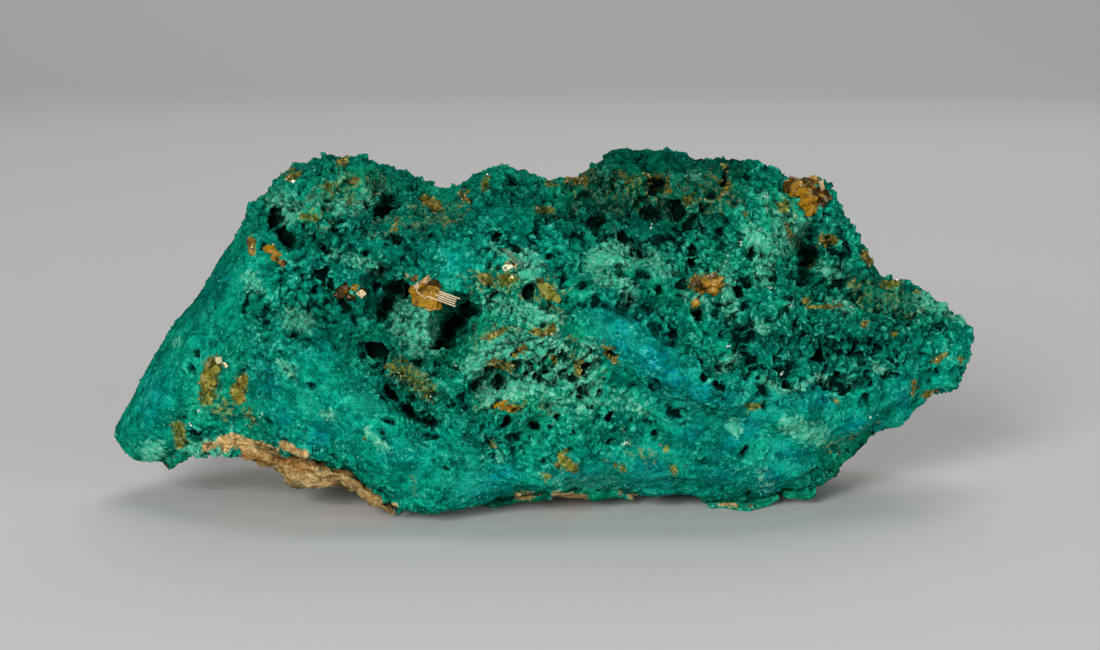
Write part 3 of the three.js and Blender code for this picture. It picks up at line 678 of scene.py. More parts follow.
GILT = strokes(
    ((-3.5, 12), (0, 12.6), (2.6, 11), 1.8, 0.9), ((-4, 9), (0, 8.4), 1.6, 0.6),
    ((3, 23.5), (8, 22.5), (12, 23), 2.0, 0.7), ((-17, 21.5), (-12, 23.5), 1.8, 0.6),
    ((-11, 20.6), (-6, 21.8), 1.4, 0.6), ((-5, 17), (0.6, 16.2), 1.2, 0.7),
    ((16.6, 21.8), (17.2, 20), 1.3, 0.7), ((22, 16), (26, 15.4), 1.4, 0.8),
    ((-1, 15.8), (0.8, 14.2), 1.0, 0.8), ((-23, 8.8), (-21.8, 8.2), 0.9, 0.6),
    ((-15.6, 21), (-14, 23.6), 1.1, 0.7), ((-3.6, 11.6), (-1.6, 11), 0.9, 0.9),
    ((-24.5, 7.4), (-20.5, 6.6), 1.5, 0.3), ((5, 5), (9, 4), 1.6, 0.4), ((20, 5.4), (23, 6), 1.0, 0.6),
)
DENTS = strokes(
    ((16.9, 23.8), (18.4, 23), (19.6, 22.6), 1.0, 1.3), ((18.4, 22), 0.8, 0.6),
)
SWELLS = strokes(
    ((27.8, 14.7), (28.7, 13.8), 0.9, 0.4), ((27.8, 10), (28.6, 11), 0.9, 0.6),
)
RAISED = strokes(
    ((-1, 0.2), (1, 0.4), (5, 0.4), 1.5, 0.75), ((-15.6, 1.6), (-14, 1), 1.0, 0.4),
)
BLUE = strokes(
    ((4.6, 14.2), (6, 12.6), 1.5), ((7, 11.8), (9, 10), 1.3),
    ((10, 9.2), (14, 8.6), (19.5, 8.7), 0.8, 0.8), ((10.4, 6.2), 0.8, 0.9), ((6.8, 3.8), (8.1, 3.8), 0.5),
    ((6.2, 2.8), (8.6, 2.7), 0.6), ((2.2, 3.3), (3.2, 3), 0.9, 0.85), ((16.4, 4.8), (18.2, 4.7), 0.6, 0.8),
    ((15.4, 3.2), (16.2, 2.2), 1.0, 0.95), ((11.6, 3.5), (13.6, 3.9), 0.8, 0.6),
    ((4.4, 4.6), (5.6, 4.4), 0.6, 0.4), ((21.4, 6.8), (23.2, 6.7), 0.7, 0.7),
    ((24.6, 9.4), (24.9, 8.2), 0.7, 0.6), ((-4.8, 2.2), (-2.6, 3.4), 0.9, 0.75),
    ((-15.4, 6.4), (-15.6, 5.6), 0.8, 0.8), ((-18, 7.2), (-18.6, 7.6), 0.7, 0.6),
    ((-19.4, 10.3), (-19, 9.4), 0.8, 0.7), ((-22.6, 17), (-23.6, 15.6), 0.8, 0.5),
    ((-26.8, 9.8), (-27.2, 7.6), 1.1, 0.45), ((-10.8, 4.6), (-9.6, 4.2), 0.8, 0.5), ((-6.8, 18), 0.9, 0.5),
    ((14.4, 6.9), (12, 4.6), 0.7, 0.7), ((29.6, 12.6), 0.5, 0.8),
)
# Stretches brightened with painted light, where the lamps leave the face in shade.
PAINTED_LIGHT = strokes(
    ((0.6, 8.4), (3, 8), 1.1, 0.8), ((7.4, 8.2), (10, 7.8), 1.0, 0.6), ((14.2, 8.8), (17, 8.2), 1.0, 0.6),
    ((21.4, 10.8), (23.6, 11), 1.2, 0.7), ((0.4, 2.6), (4, 2.6), (8, 2.8), 1.0, 0.8),
    ((14.4, 4.4), (16.4, 4.8), 0.8, 0.5), ((-6.6, 3), (-4.8, 2.6), 1.0, 0.6),
    ((4, 14.2), (6.4, 13), 1.1, 0.5), ((-13.2, 8.8), (-11.6, 8.2), 0.9, 0.5),
    ((17.8, 20.4), (19.6, 19.6), 1.2, 0.9), ((4.4, 19), (9.4, 19), 1.2, 0.6),
    ((-15.6, 22), (-11.6, 22.4), 1.4, 0.5), ((-19.6, 14.2), (-17, 13.6), 1.0, 0.4),
    ((14, 20), (18, 19), 1.4, 0.4),
)
MINT = strokes(
    ((-27.2, 5), (-27.2, 4.2), 1.0, 0.8), ((-24.5, 4.8), (-22.2, 5.4), 0.7, 1.2),
    ((-3.5, 19.3), (-1.2, 18), 0.35, 0.9), ((-18.3, 22.4), (-17.8, 21.6), 1.0, 0.9),
    ((-17.4, 14.3), (-16.6, 14), 0.8, 0.9), ((-20.4, 17), (-20, 16.4), 0.6, 0.8),
    ((-9.4, 14.2), (-8.4, 13), 1.4, 1.1), ((0.8, 8.6), (3, 8.2), 0.9, 0.6),
    ((5, 8.8), (6.8, 8), 0.8, 0.45), ((16.4, 21.4), (16.4, 19.4), 0.8, 0.7),
    ((10, 16), (11.6, 15), 0.8, 0.45), ((1, 2.8), (5, 2.6), 0.9, 0.35),
    ((14.8, 3.6), (15.6, 2.6), 0.8, 0.35), ((-14.3, 21.8), (-12.2, 22.3), 0.6, 0.8),
    ((-14.6, 18.7), (-12.8, 18.2), (-11.4, 17.6), 0.5, 0.7), ((-1.2, 18.2), (-0.8, 17.6), 0.9),
    ((-3.8, 15.4), (-1.4, 14.6), (0.6, 14), 0.8, 0.7), ((-4.6, 10.8), (-3, 12.4), (0.6, 12.4), 1.0, 0.9),
    ((-3.8, 9), (1, 10.4), (2.6, 9.6), 1.0, 0.7), ((3, 12), (3.4, 8.8), 0.9, 0.6),
    ((3.4, 18), (4.8, 19), (6.2, 18.4), 0.9, 0.9), ((4, 17), (5.9, 16.4), (6, 15.4), 0.6, 0.8),
    ((7.4, 18.4), (8.6, 17.4), 0.8, 0.6), ((10.2, 24.2), (10.6, 24), 0.4, 0.9),
    ((14.4, 20.3), (15.2, 18.6), (15.4, 17), 0.8, 0.8), ((12.6, 17.6), (13, 14.6), 0.7, 0.6),
    ((14.9, 13.8), (15.4, 13.4), 0.5, 0.8), ((18.2, 21), (17.6, 20.2), 0.5, 0.9),
    ((19.4, 17.6), (20.4, 17), 0.6, 0.7), ((15.4, 22.8), 0.35), ((17.2, 15.2), 0.3),
    ((21.2, 14.9), (20, 15.2), 0.45, 0.9), ((17.2, 6.8), (18.2, 6.4), (19, 6.3), 0.75),
    ((13, 6.9), (13.4, 6.4), 0.5, 0.8), ((12.2, 10.6), (13.2, 11.4), 0.5, 0.7),
    ((15.2, 9.9), (16.4, 9.3), (18, 9.6), (19, 10.2), (19.8, 9.6), 0.25), ((23, 11), (23.5, 10.6), 0.35),
    ((21.2, 9.8), 0.4, 0.8), ((26, 16), (27.6, 15.3), (29.2, 14.3), 0.6, 1.3), ((5.6, 5.6), 0.25, 0.9),
    ((-10.8, 5.2), (-12.4, 6.4), 0.35, 0.7), ((-14.8, 7.5), (-15.2, 7.6), 0.4),
    ((-18.2, 10.9), (-17.4, 10.4), 0.5, 0.7), ((-25.5, 12.5), 0.35, 0.8),
    ((-3, 4.4), (-3.2, 4.8), 0.35, 0.8), ((4.4, 24.6), (3.8, 22.6), 0.6, 0.4),
)
RUST = strokes(
    ((-23.3, 10.4), (-23.4, 9.3), 0.42), ((-20.9, 10), (-21.4, 9.2), (-21.1, 8.6), 0.38),
    ((-20.35, 19.8), (-20.3, 18.7), 0.22), ((-17.7, 24.1), (-17.2, 24.4), 0.35), ((-14, 25.2), 0.42),
    ((-13.2, 23.8), 0.3, 0.9), ((-10.1, 21), (-10.3, 20.4), 0.3, 0.6),
    ((-8.2, 22.5), (-7.4, 22), 0.36, 0.9), ((-5.6, 23), (-5.5, 22.4), 0.3, 0.6),
    ((-1.9, 24.3), (-1.6, 24), 0.25, 0.8), ((1.7, 23.9), (2.8, 23.8), 0.38),
    ((-0.7, 13.4), (0, 13.1), (0.6, 13.6), 0.25), ((-3.9, 12.8), (-2.7, 13.5), 0.3, 0.6),
    ((-3.5, 11.1), (-2.4, 10.9), 0.35), ((0.7, 11.4), 0.3, 0.9), ((-1.5, 12.2), (-2.1, 11.7), 0.3, 0.7),
    ((2.5, 11.2), (2.4, 10.5), 0.35, 0.9), ((10.7, 16.6), (11.9, 16.6), 0.65), ((10.5, 15.2), 0.3),
    ((12.4, 25.3), (12.8, 24.4), (12.8, 23.4), (12.2, 22.7), (11, 22.4), 0.22, 0.45),
    ((7.2, 24.1), (8.6, 24.2), (8.6, 23.2), (7.4, 23.1), (7.2, 24.1), 0.25, 0.42),
    ((19.4, 19.7), (20, 19.6), 0.38), ((17.2, 19.9), (16.9, 20.6), 0.35, 0.6), ((18.2, 15.4), 0.28),
    ((18.4, 15.05), (20.6, 15.1), 0.18, 0.7), ((22.3, 13.8), 0.28, 0.9), ((24.3, 13.1), 0.25, 0.8),
    ((22.3, 18.6), (22.9, 18), 0.35, 0.9), ((25.9, 16.1), 0.3, 0.9), ((26.6, 8.9), (27.4, 9.1), 0.3),
    ((22.4, 5.5), (23.1, 5.7), 0.3, 0.9), ((25.65, 9.9), (25.6, 8.9), 0.18, 0.7),
    ((27.2, 11.2), (27.8, 11.7), 0.3, 0.6), ((4.3, 11.9), (4.9, 11.3), 0.35, 0.7),
    ((28.9, 11.4), 0.25, 0.6), ((21.7, 16.5), 0.4, 0.5), ((20.3, 8.5), 0.25, 0.6),
    ((-12.3, 2.2), (-13.4, 2.9), 0.3, 0.5),
)
OLIVE = strokes(
    ((-22.9, 11.1), (-23.2, 10), (-23.4, 8.8), 0.6, 0.9), ((-20.9, 10), (-21.3, 8.8), 0.55, 0.7),
    ((-22.4, 8.2), (-20.6, 7.8), 0.8, 0.25), ((-25.4, 6.7), (-25.1, 5.6), 0.45, 0.9),
    ((-16.7, 21.3), (-15.9, 21.2), 0.3, 0.8), ((-15, 23.5), 0.42, 0.8),
    ((-13.2, 22.8), (-13.4, 22.2), 0.3, 0.5), ((-10.3, 10.8), (-8.6, 9.8), (-8, 9.2), 1.0, 0.5),
    ((-4.1, 23.9), (-4.1, 23.2), 0.28, 0.9), ((0.3, 23.7), (0.8, 23.7), 0.3, 0.8),
    ((-0.4, 21.8), (0.5, 21.7), 0.32, 0.9), ((-4.1, 17), 0.5), ((-2.6, 16.9), 0.5),
    ((0.2, 16.1), 0.55, 0.9), ((6.2, 23.3), (5.4, 24.2), 0.55, 0.45), ((10, 22.4), 0.45, 0.8),
    ((11.4, 24.2), (12.4, 23.6), 0.5, 0.4), ((13.9, 21.6), 0.3, 0.7), ((16.6, 22), 0.45, 0.8),
    ((18.4, 17.8), 0.35, 0.8), ((23.6, 16.6), (24.8, 16.8), 0.4, 0.7), ((26.2, 14.9), 0.3, 0.5),
    ((20.5, 5.2), 0.3, 0.6), ((14.1, 8.1), (14.9, 8.1), 0.28, 0.8), ((8.4, 5.2), 0.35, 0.6),
    ((5.5, 3.8), 0.35, 0.7), ((9, 3.7), 0.4, 0.7), ((-2.1, 8), 0.45, 0.9), ((-3.6, 5.6), 0.4, 0.5),
    ((1.2, 4.4), (2, 3.9), 0.45, 0.7), ((0.1, 3.2), 0.4, 0.6), ((-9, 3.3), (-9, 2.1), 0.4, 0.35),
    ((-12.4, 5.8), 0.4, 0.35), ((-20.6, 7.6), (-20.1, 7), 0.4, 0.4),
)
TAN = strokes(
    ((-23.4, 5.3), (-22.2, 5.9), (-22, 5.2), 0.36, 0.75), ((-21.6, 5.8), (-20, 5.3), (-18.8, 5), 0.5, 0.9),
    ((-18, 5.4), (-16.6, 4.8), 0.45, 0.7), ((-18.2, 3.8), (-16.6, 3.2), (-14.4, 3.1), 0.5),
    ((-13.8, 3), (-12.4, 2.1), (-11.4, 1.5), (-10.4, 1.2), 0.4, 0.9), ((-1.8, 1.9), (-0.9, 1.9), 0.4, 0.9),
    ((0.9, 1.9), (2.8, 1.7), 0.42), ((6, 1.9), (7, 1.6), 0.3, 0.9), ((9.4, 1.8), (10.4, 1.5), 0.3, 0.6),
    ((12.2, 1.4), (13.4, 1.2), 0.25, 0.9), ((-2.6, 17.9), (-2, 17.8), 0.35, 0.6), ((-9.4, 17.2), 0.4, 0.5),
)


# ---------------- finishes

Colour = Triple


class Shader:
    """Builds one material from nodes."""

    # numbers of the mixing node's colour sockets
    MIX_SHARE, MIX_FIRST, MIX_SECOND, MIXED = 0, 6, 7, 2
    GREY = (0.5, 0.5, 0.5)

    def __init__(self, name: str) -> None:
        """Starts a material with a Principled shader.

        Args:
            name: the material's name.
        """
        self.material = bpy.data.materials.new(name)
        self.material.use_nodes = True
        self.tree = self.material.node_tree
        self.principled = self.tree.nodes["Principled BSDF"]
        self.place = self.add("ShaderNodeTexCoord").outputs["Object"]

    def add(self, kind: str, **settings: object) -> bpy.types.Node:
        """Adds a node with its properties set.

        Args:
            kind: the node's type.
            settings: its properties.

        Returns:
            The node.
        """
        node = self.tree.nodes.new(kind)
        for name, value in settings.items():
            setattr(node, name, value)
        return node

    def feed(self, socket: bpy.types.NodeSocket, value: object) -> None:
        """Links or sets a socket.

        Args:
            socket: the socket.
            value: another socket, a number or a colour.
        """
        if isinstance(value, bpy.types.NodeSocket):
            self.tree.links.new(value, socket)
        elif isinstance(value, tuple) and socket.type == "RGBA":
            socket.default_value = (*value, 1.0)
        else:
            socket.default_value = value

    def result(self, kind: str, *values: object, **settings: object) -> object:
        """What a node makes of values that are fed to its sockets in order.

        Args:
            kind: the node's type.
            values: what its sockets get.
            settings: its properties.

        Returns:
            Its first output.
        """
        node = self.add(kind, **settings)
        for socket, value in zip(node.inputs, values):
            self.feed(socket, value)
        return node.outputs[0]

    def vector(self, operation: str, a: object, b: object) -> object:
        """Arithmetic on vectors."""
        return self.result("ShaderNodeVectorMath", a, b, operation=operation)

    def noise(
        self,
        size: float,
        detail: float = 4,
        roughness: float = 0.6,
        output: str = "Fac",
        place: object = None,
    ) -> object:
        """Soft noise with features of a size in millimetres.

        Args:
            size: size of the features.
            detail: how many finer layers.
            roughness: share of the finer layers.
            output: number or colour.
            place: where it is read, if not at the plain place.

        Returns:
            The noise.
        """
        node = self.add("ShaderNodeTexNoise")
        self.feed(node.inputs["Vector"], self.place if place is None else place)
        node.inputs["Scale"].default_value = 1 / (size * MM)
        node.inputs["Detail"].default_value = detail
        node.inputs["Roughness"].default_value = roughness
        return node.outputs[output]

    def warped(self, size: float, amount: float) -> object:
        """The place, pushed about by noise."""
        push = self.vector("SUBTRACT", self.noise(size, 3, 0.6, "Color"), self.GREY)
        return self.vector("ADD", self.place, self.vector("MULTIPLY", push, (2 * amount * MM,) * 3))

    def attribute(self, name: str) -> object:
        """A number stored on the mesh."""
        return self.add("ShaderNodeAttribute", attribute_name=name).outputs["Fac"]

    def math(self, operation: str, a: object, b: object = 0.0) -> object:
        """Arithmetic on numbers."""
        return self.result("ShaderNodeMath", a, b, operation=operation)

    def times(self, *values: object) -> object:
        """The product of some numbers."""
        return functools.reduce(functools.partial(self.math, "MULTIPLY"), values)

    def between(self, value: object, low: float, high: float, out: Spot = (0.0, 1.0)) -> object:
        """A number eased from one range to another."""
        return self.result("ShaderNodeMapRange", value, low, high, *out, interpolation_type="SMOOTHSTEP")

    def patches(self, name: str, edge: object, amount: float, cut: Spot, faint: float) -> object:
        """A stored number cut to patches, with an edge pushed about by noise.

        Args:
            name: the number's name.
            edge: the noise.
            amount: how far it pushes.
            cut: range over which the patches begin.
            faint: number below which they fade.

        Returns:
            The patches.
        """
        stored = self.attribute(name)
        pushed = self.math("ADD", stored, self.times(self.math("SUBTRACT", edge, 0.5), amount))
        return self.times(self.between(pushed, *cut), self.between(stored, 0.02, faint))

    def ragged(self, name: str, edge: object, amount: float = 0.9) -> object:
        """A stored number cut to crisp patches."""
        return self.patches(name, edge, amount, (0.36, 0.52), 0.15)

    def softly(self, name: str, edge: object, amount: float) -> object:
        """A stored number cut to patches that fade at their edge."""
        return self.patches(name, edge, amount, (0.22, 0.6), 0.2)

    def mix(self, share: object, a: object, b: object) -> object:
        """Mixes two colours.

        Args:
            share: how much of the second.
            a: the first colour.
            b: the second colour.

        Returns:
            The mixed colour.
        """
        node = self.add("ShaderNodeMix", data_type="RGBA")
        self.feed(node.inputs[self.MIX_SHARE], share)
        self.feed(node.inputs[self.MIX_FIRST], a)
        self.feed(node.inputs[self.MIX_SECOND], b)
        return node.outputs[self.MIXED]

    def bump(self, height: object, depth: float) -> object:
        """A fine relief of a depth in millimetres.

        Args:
            height: the relief, from 0 to 1.
            depth: its depth.

        Returns:
            The normal.
        """
        node = self.add("ShaderNodeBump")
        node.inputs["Strength"].default_value = 1.0
        node.inputs["Distance"].default_value = depth * MM
        self.feed(node.inputs["Height"], height)
        return node.outputs[0]

    def set(self, **values: object) -> None:
        """Sets or links sockets of the Principled shader, an underscore for each space."""
        for name, value in values.items():
            self.feed(self.principled.inputs[name.replace("_", " ")], value)


@dataclass(frozen=True)
class StoneFinish:
    """Sugary green crust and the tan rock under it, with stains, painted shade and painted light."""

    name: str
    shadow: Colour = (0.0, 0.0055, 0.004)
    deep: Colour = (0.0, 0.085, 0.058)
    leaf: Colour = (0.003, 0.288, 0.130)
    teal: Colour = (0.001, 0.296, 0.172)
    sea: Colour = (0.001, 0.310, 0.212)
    blue: Colour = (0.0, 0.200, 0.265)
    ink: Colour = (0.0, 0.055, 0.068)
    # the crust's pale foam colour, also used for painted light and for painted highlight on rims
    foam_and_light: Colour = (0.014, 0.410, 0.275)
    mint: Colour = (0.050, 0.400, 0.252)
    pale: Colour = (0.185, 0.520, 0.338)
    rust: Colour = (0.105, 0.078, 0.007)
    ochre: Colour = (0.340, 0.235, 0.032)
    olive: Colour = (0.060, 0.075, 0.004)
    straw: Colour = (0.330, 0.310, 0.050)
    tan: Colour = (0.380, 0.210, 0.062)
    cream: Colour = (0.600, 0.430, 0.190)
    brown: Colour = (0.050, 0.026, 0.007)
    stain: Colour = (0.240, 0.095, 0.016)
    depth: float = 0.08

    def make(self) -> Material:
        """Builds the material.

        Returns:
            The material.
        """
        s = Shader(self.name)
        place = s.warped(0.45, 0.12)
        fine = s.noise(0.34, 4, 0.65, place=place)
        blotch = s.noise(1.2, 4, 0.6)
        speck = s.noise(0.13, 3, 0.65, place=place)
        colour = self.green(s, place, fine, blotch, speck)
        colour = s.mix(s.ragged("rock", blotch, 1.3), colour, self.rock(s, fine, blotch, speck))
        sand = s.mix(s.between(fine, 0.4, 0.6), self.tan, self.cream)
        colour = s.mix(s.ragged("tan", fine), colour, sand)
        for name, dark, bright in (("olive", self.olive, self.straw), ("rust", self.rust, self.ochre)):
            tint = s.mix(s.between(fine, 0.42, 0.66), dark, bright)
            colour = s.mix(s.times(s.softly(name, fine, 0.9), 0.9), colour, tint)
        colour = s.mix(s.between(speck, 0.5, 0.32, (0.0, 0.5)), colour, self.shadow)
        # painted shade: the dim stretches and the pits, hollows and gaps darken towards the shadow colour
        colour = s.mix(s.times(s.attribute("dim"), 0.7), colour, self.shadow)
        colour = s.mix(s.attribute("pit"), colour, self.shadow)
        s.set(
            Base_Color=colour,
            Roughness=0.55,
            Normal=s.bump(s.math("ADD", s.times(fine, 1.8), s.times(speck, 0.7)), self.depth),
        )
        s.principled.inputs["Specular IOR Level"].default_value = 0.0
        return s.material

    def green(self, s: Shader, place: object, fine: object, blotch: object, speck: object) -> object:
        """Colour of the green crust.

        Args:
            s: the shader.
            place: the warped place.
            fine, blotch, speck: noises of about 0.3, 1.2 and 0.1 mm.

        Returns:
            The colour.
        """
        crust, tone = s.math("MAXIMUM", s.attribute("crust"), 0.5), s.attribute("tone")
        drift = s.times(s.math("SUBTRACT", s.noise(2.2, 4, 0.6), 0.5), 2.2)
        drift = s.math("ADD", s.attribute("sea"), drift)
        colour = s.mix(s.between(drift, 0.0, 0.45), self.leaf, self.teal)
        colour = s.mix(s.between(drift, 0.45, 1.0), colour, self.sea)
        blue = s.times(s.attribute("blue"), s.between(s.noise(0.9, 4, 0.6), 0.26, 0.54))
        colour = s.mix(blue, colour, self.blue)
        mottle = s.noise(0.7, 3, 0.65, place=s.vector("MULTIPLY", place, (0.6, 1.0, 1.0)))
        ink = s.times(s.attribute("ink"), s.between(s.noise(0.8, 4, 0.6), 0.36, 0.56), 0.9)
        colour = s.mix(ink, colour, self.ink)
        cloud = s.noise(1.7, 3, 0.55, place=s.vector("MULTIPLY", place, (0.8, 1.0, 1.2)))
        colour = s.mix(s.between(cloud, 0.54, 0.66, (0.0, 0.5)), colour, self.foam_and_light)
        colour = s.mix(s.between(cloud, 0.47, 0.35, (0.0, 0.75)), colour, self.deep)
        colour = s.mix(s.between(mottle, 0.5, 0.38, (0.0, 0.7)), colour, self.deep)
        colour = s.mix(s.between(blotch, 0.5, 0.63, (0.0, 0.7)), colour, self.deep)
        colour = s.mix(s.between(fine, 0.5, 0.36, (0.0, 0.5)), colour, self.deep)
        lumps = s.times(crust, s.between(tone, 0.5, 0.12), 0.7)
        shade = s.times(s.attribute("shade"), 0.6)
        colour = s.mix(s.math("MAXIMUM", lumps, shade), colour, self.deep)
        thread = s.math("ABSOLUTE", s.math("SUBTRACT", s.noise(0.85, 4, 0.6, place=place), 0.5))
        lace = s.times(s.between(thread, 0.035, 0.008), s.between(s.noise(1.5, 3, 0.5), 0.43, 0.53))
        # rim brings painted highlight on convex edges into this pale mix, with bright-toned lumps, ridges
        # and lace
        light = s.math("ADD", s.attribute("rim"), s.times(crust, s.between(tone, 0.6, 0.92), 0.8))
        light = s.math("ADD", s.math("ADD", light, s.times(s.attribute("line"), 0.35)), s.times(lace, 0.85))
        lit = s.math("SUBTRACT", 1.0, s.times(s.attribute("dim"), 0.5))
        light = s.times(light, s.between(fine, 0.38, 0.6), lit)
        colour = s.mix(s.between(light, 0.1, 0.9, (0.0, 0.85)), colour, self.foam_and_light)
        # painted light: the stretches that the lamps leave in shade are brightened towards the foam colour
        colour = s.mix(s.times(s.attribute("foam_and_light"), s.between(mottle, 0.36, 0.52), 0.6), colour, self.foam_and_light)
        frost = s.times(s.between(speck, 0.54, 0.68), s.between(mottle, 0.4, 0.6), 0.5)
        colour = s.mix(frost, colour, self.mint)
        sugar = s.times(s.between(light, 0.5, 1.2), s.between(speck, 0.45, 0.62), 0.7)
        colour = s.mix(sugar, colour, self.pale)
        gilt = s.times(s.ragged("gilt", blotch, 1.6), s.between(fine, 0.48, 0.62), 0.55)
        colour = s.mix(gilt, colour, self.straw)
        mint = s.softly("mint", fine, 1.2)
        colour = s.mix(s.times(mint, s.between(mottle, 0.34, 0.5), 0.85), colour, self.mint)
        return s.mix(s.times(mint, s.between(fine, 0.5, 0.62), 0.85), colour, self.pale)

    def rock(self, s: Shader, fine: object, blotch: object, speck: object) -> object:
        """Colour of the tan rock.

        Args:
            s: the shader.
            fine, blotch, speck: noises of about 0.3, 1.2 and 0.1 mm.

        Returns:
            The colour.
        """
        colour = s.mix(s.between(s.noise(3.5, 4, 0.6), 0.38, 0.6), self.tan, self.cream)
        colour = s.mix(s.between(blotch, 0.52, 0.62, (0.0, 0.8)), colour, self.stain)
        colour = s.mix(s.times(s.attribute("line"), s.between(fine, 0.36, 0.56)), colour, self.stain)
        colour = s.mix(s.between(fine, 0.5, 0.66, (0.0, 0.75)), colour, self.brown)
        colour = s.mix(s.between(speck, 0.56, 0.7, (0.0, 0.7)), colour, self.cream)
        dust = s.times(s.attribute("blue"), s.between(s.noise(0.8, 3, 0.6), 0.5, 0.6))
        return s.mix(dust, colour, self.teal)


@dataclass(frozen=True)
class GrainFinish:
    """Tiny glassy grains of the crust, each its own tone, darkened with the crust's painted shade."""

    name: str = "crust_grains"
    dark: Colour = (0.0, 0.060, 0.045)
    body: Colour = (0.003, 0.230, 0.160)
    bright: Colour = (0.048, 0.400, 0.252)
    pale: Colour = (0.185, 0.530, 0.345)
    blue: Colour = (0.0, 0.190, 0.220)
    tan: Colour = (0.360, 0.250, 0.120)
    pit: Colour = (0.0, 0.006, 0.004)

    def make(self) -> Material:
        """Builds the material.

        Returns:
            The material.
        """
        s = Shader(self.name)
        tone = s.attribute("tone")
        colour = s.mix(s.between(tone, 0.1, 0.6), self.dark, self.body)
        colour = s.mix(s.attribute("blue"), colour, self.blue)
        colour = s.mix(s.between(tone, 0.7, 1.0, (0.0, 0.8)), colour, self.bright)
        pale = s.times(s.attribute("mint"), s.between(tone, 0.3, 0.8))
        colour = s.mix(pale, colour, self.pale)
        colour = s.mix(s.math("MAXIMUM", s.attribute("tan"), s.attribute("rock")), colour, self.tan)
        # painted shade: grains in pits, hollows and gaps, and on shaded and dim stretches, are darkened
        colour = s.mix(s.attribute("pit"), colour, self.pit)
        dark = s.times(s.math("MAXIMUM", s.attribute("shade"), s.attribute("dim")), 0.6)
        colour = s.mix(dark, colour, self.dark)
        s.set(Base_Color=colour, Roughness=0.3)
        s.principled.inputs["Specular IOR Level"].default_value = 0.1
        return s.material


@dataclass(frozen=True)
class GritFinish:
    """Small glassy crumbs of amber, brown and straw."""

    name: str = "amber_grit"
    brown: Colour = (0.050, 0.038, 0.003)
    amber: Colour = (0.170, 0.130, 0.014)
    gold: Colour = (0.420, 0.350, 0.100)
    olive: Colour = (0.055, 0.068, 0.005)
    straw: Colour = (0.240, 0.240, 0.050)

    def make(self) -> Material:
        """Builds the material.

        Returns:
            The material.
        """
        s = Shader(self.name)
        tone = s.attribute("tone")
        amber = s.mix(s.between(tone, 0.1, 0.6), self.brown, self.amber)
        amber = s.mix(s.between(tone, 0.65, 1.0), amber, self.gold)
        olive = s.mix(s.between(tone, 0.4, 0.95), self.olive, self.straw)
        share = s.math("GREATER_THAN", s.attribute("olive"), s.attribute("rust"))
        s.set(Base_Color=s.mix(share, amber, olive), Roughness=0.16)
        s.principled.inputs["Specular IOR Level"].default_value = 0.4
        return s.material


class Gem(Enum):
    """The kinds of larger crystal: name, bright tint and dark tint."""

    AMBER = ("amber_crystal", (0.40, 0.205, 0.005), (0.03, 0.012, 0.001))
    OLIVE = ("olive_crystal", (0.20, 0.21, 0.016), (0.045, 0.052, 0.002))
    STRAW = ("straw_crystal", (0.30, 0.27, 0.035), (0.055, 0.062, 0.004))
    PALE = ("pale_crystal", (0.34, 0.46, 0.33), (0.12, 0.24, 0.16))
    # pale chips that paint glints at single places of the face
    CLEAR = ("clear_crystal", (0.86, 0.92, 0.82), (0.60, 0.76, 0.62))


@dataclass(frozen=True)
class GemFinish:
    """A clear, coloured crystal with fine growth lines."""

    gem: Gem
    # gleam: painted highlight; edge: the palest tone, for pale ribs and painted highlights
    gleam: Colour = (0.90, 0.72, 0.34)
    edge: Colour = (0.90, 0.80, 0.60)
    sheen: Colour = (1.0, 0.80, 0.50)

    def make(self) -> Material:
        """Builds the material.

        Returns:
            The material.
        """
        name, bright, dark = self.gem.value
        s = Shader(name)
        tone, cloud = s.attribute("tone"), s.noise(0.55, 4, 0.6)
        share = s.math("ADD", s.times(tone, 0.35), s.times(cloud, 0.65))
        tint = s.mix(s.between(share, 0.4, 0.58), dark, bright)
        # gleam: painted highlight, as pale gold patches in the crystal's colour
        gleam = s.times(s.between(s.noise(0.3, 3, 0.55), 0.62, 0.72), s.between(tone, 0.1, 0.7), 0.45)
        tint = s.mix(gleam, tint, self.gleam)
        # the palest tones take the edge colour: the striated blade's pale ribs, and pale blocks as painted
        # highlights
        s.set(
            Base_Color=s.mix(s.between(tone, 0.9, 1.0), tint, self.edge),
            Roughness=s.between(cloud, 0.3, 0.7, (0.14, 0.32)),
            Normal=s.bump(s.noise(0.4, 3, 0.55), 0.025),
        )
        s.principled.inputs["IOR"].default_value = 1.5
        s.principled.inputs["Specular IOR Level"].default_value = 0.4
        s.principled.inputs["Specular Tint"].default_value = (*self.sheen, 1.0)
        s.principled.inputs["Transmission Weight"].default_value = 0.4
        return s.material


# ---------------- making meshes


def modified(mesh: Mesh, kind: str, **settings: object) -> Mesh:
    """A mesh as one modifier leaves it.

    Args:
        mesh: the mesh.
        kind: the modifier's type.
        settings: its properties.

    Returns:
        A new mesh.
    """
    worker = bpy.data.objects.new("worker", mesh)
    bpy.context.scene.collection.objects.link(worker)
    modifier = worker.modifiers.new("change", kind)
    for name, value in settings.items():
        setattr(modifier, name, value)
    view = bpy.context.evaluated_depsgraph_get()
    result = bpy.data.meshes.new_from_object(worker.evaluated_get(view))
    bpy.data.objects.remove(worker)
    return result


def remeshed(mesh: Mesh, voxel: float) -> Mesh:
    """One even skin round everything in a mesh, with faces of a size in millimetres."""
    return modified(mesh, "REMESH", mode="VOXEL", voxel_size=voxel, adaptivity=0.0)


def thinned(mesh: Mesh, triangles: int) -> Mesh:
    """The mesh with at most about that many triangles."""
    share = triangles / len(corners_of(mesh))
    return mesh if share >= 1 else modified(mesh, "DECIMATE", ratio=share)


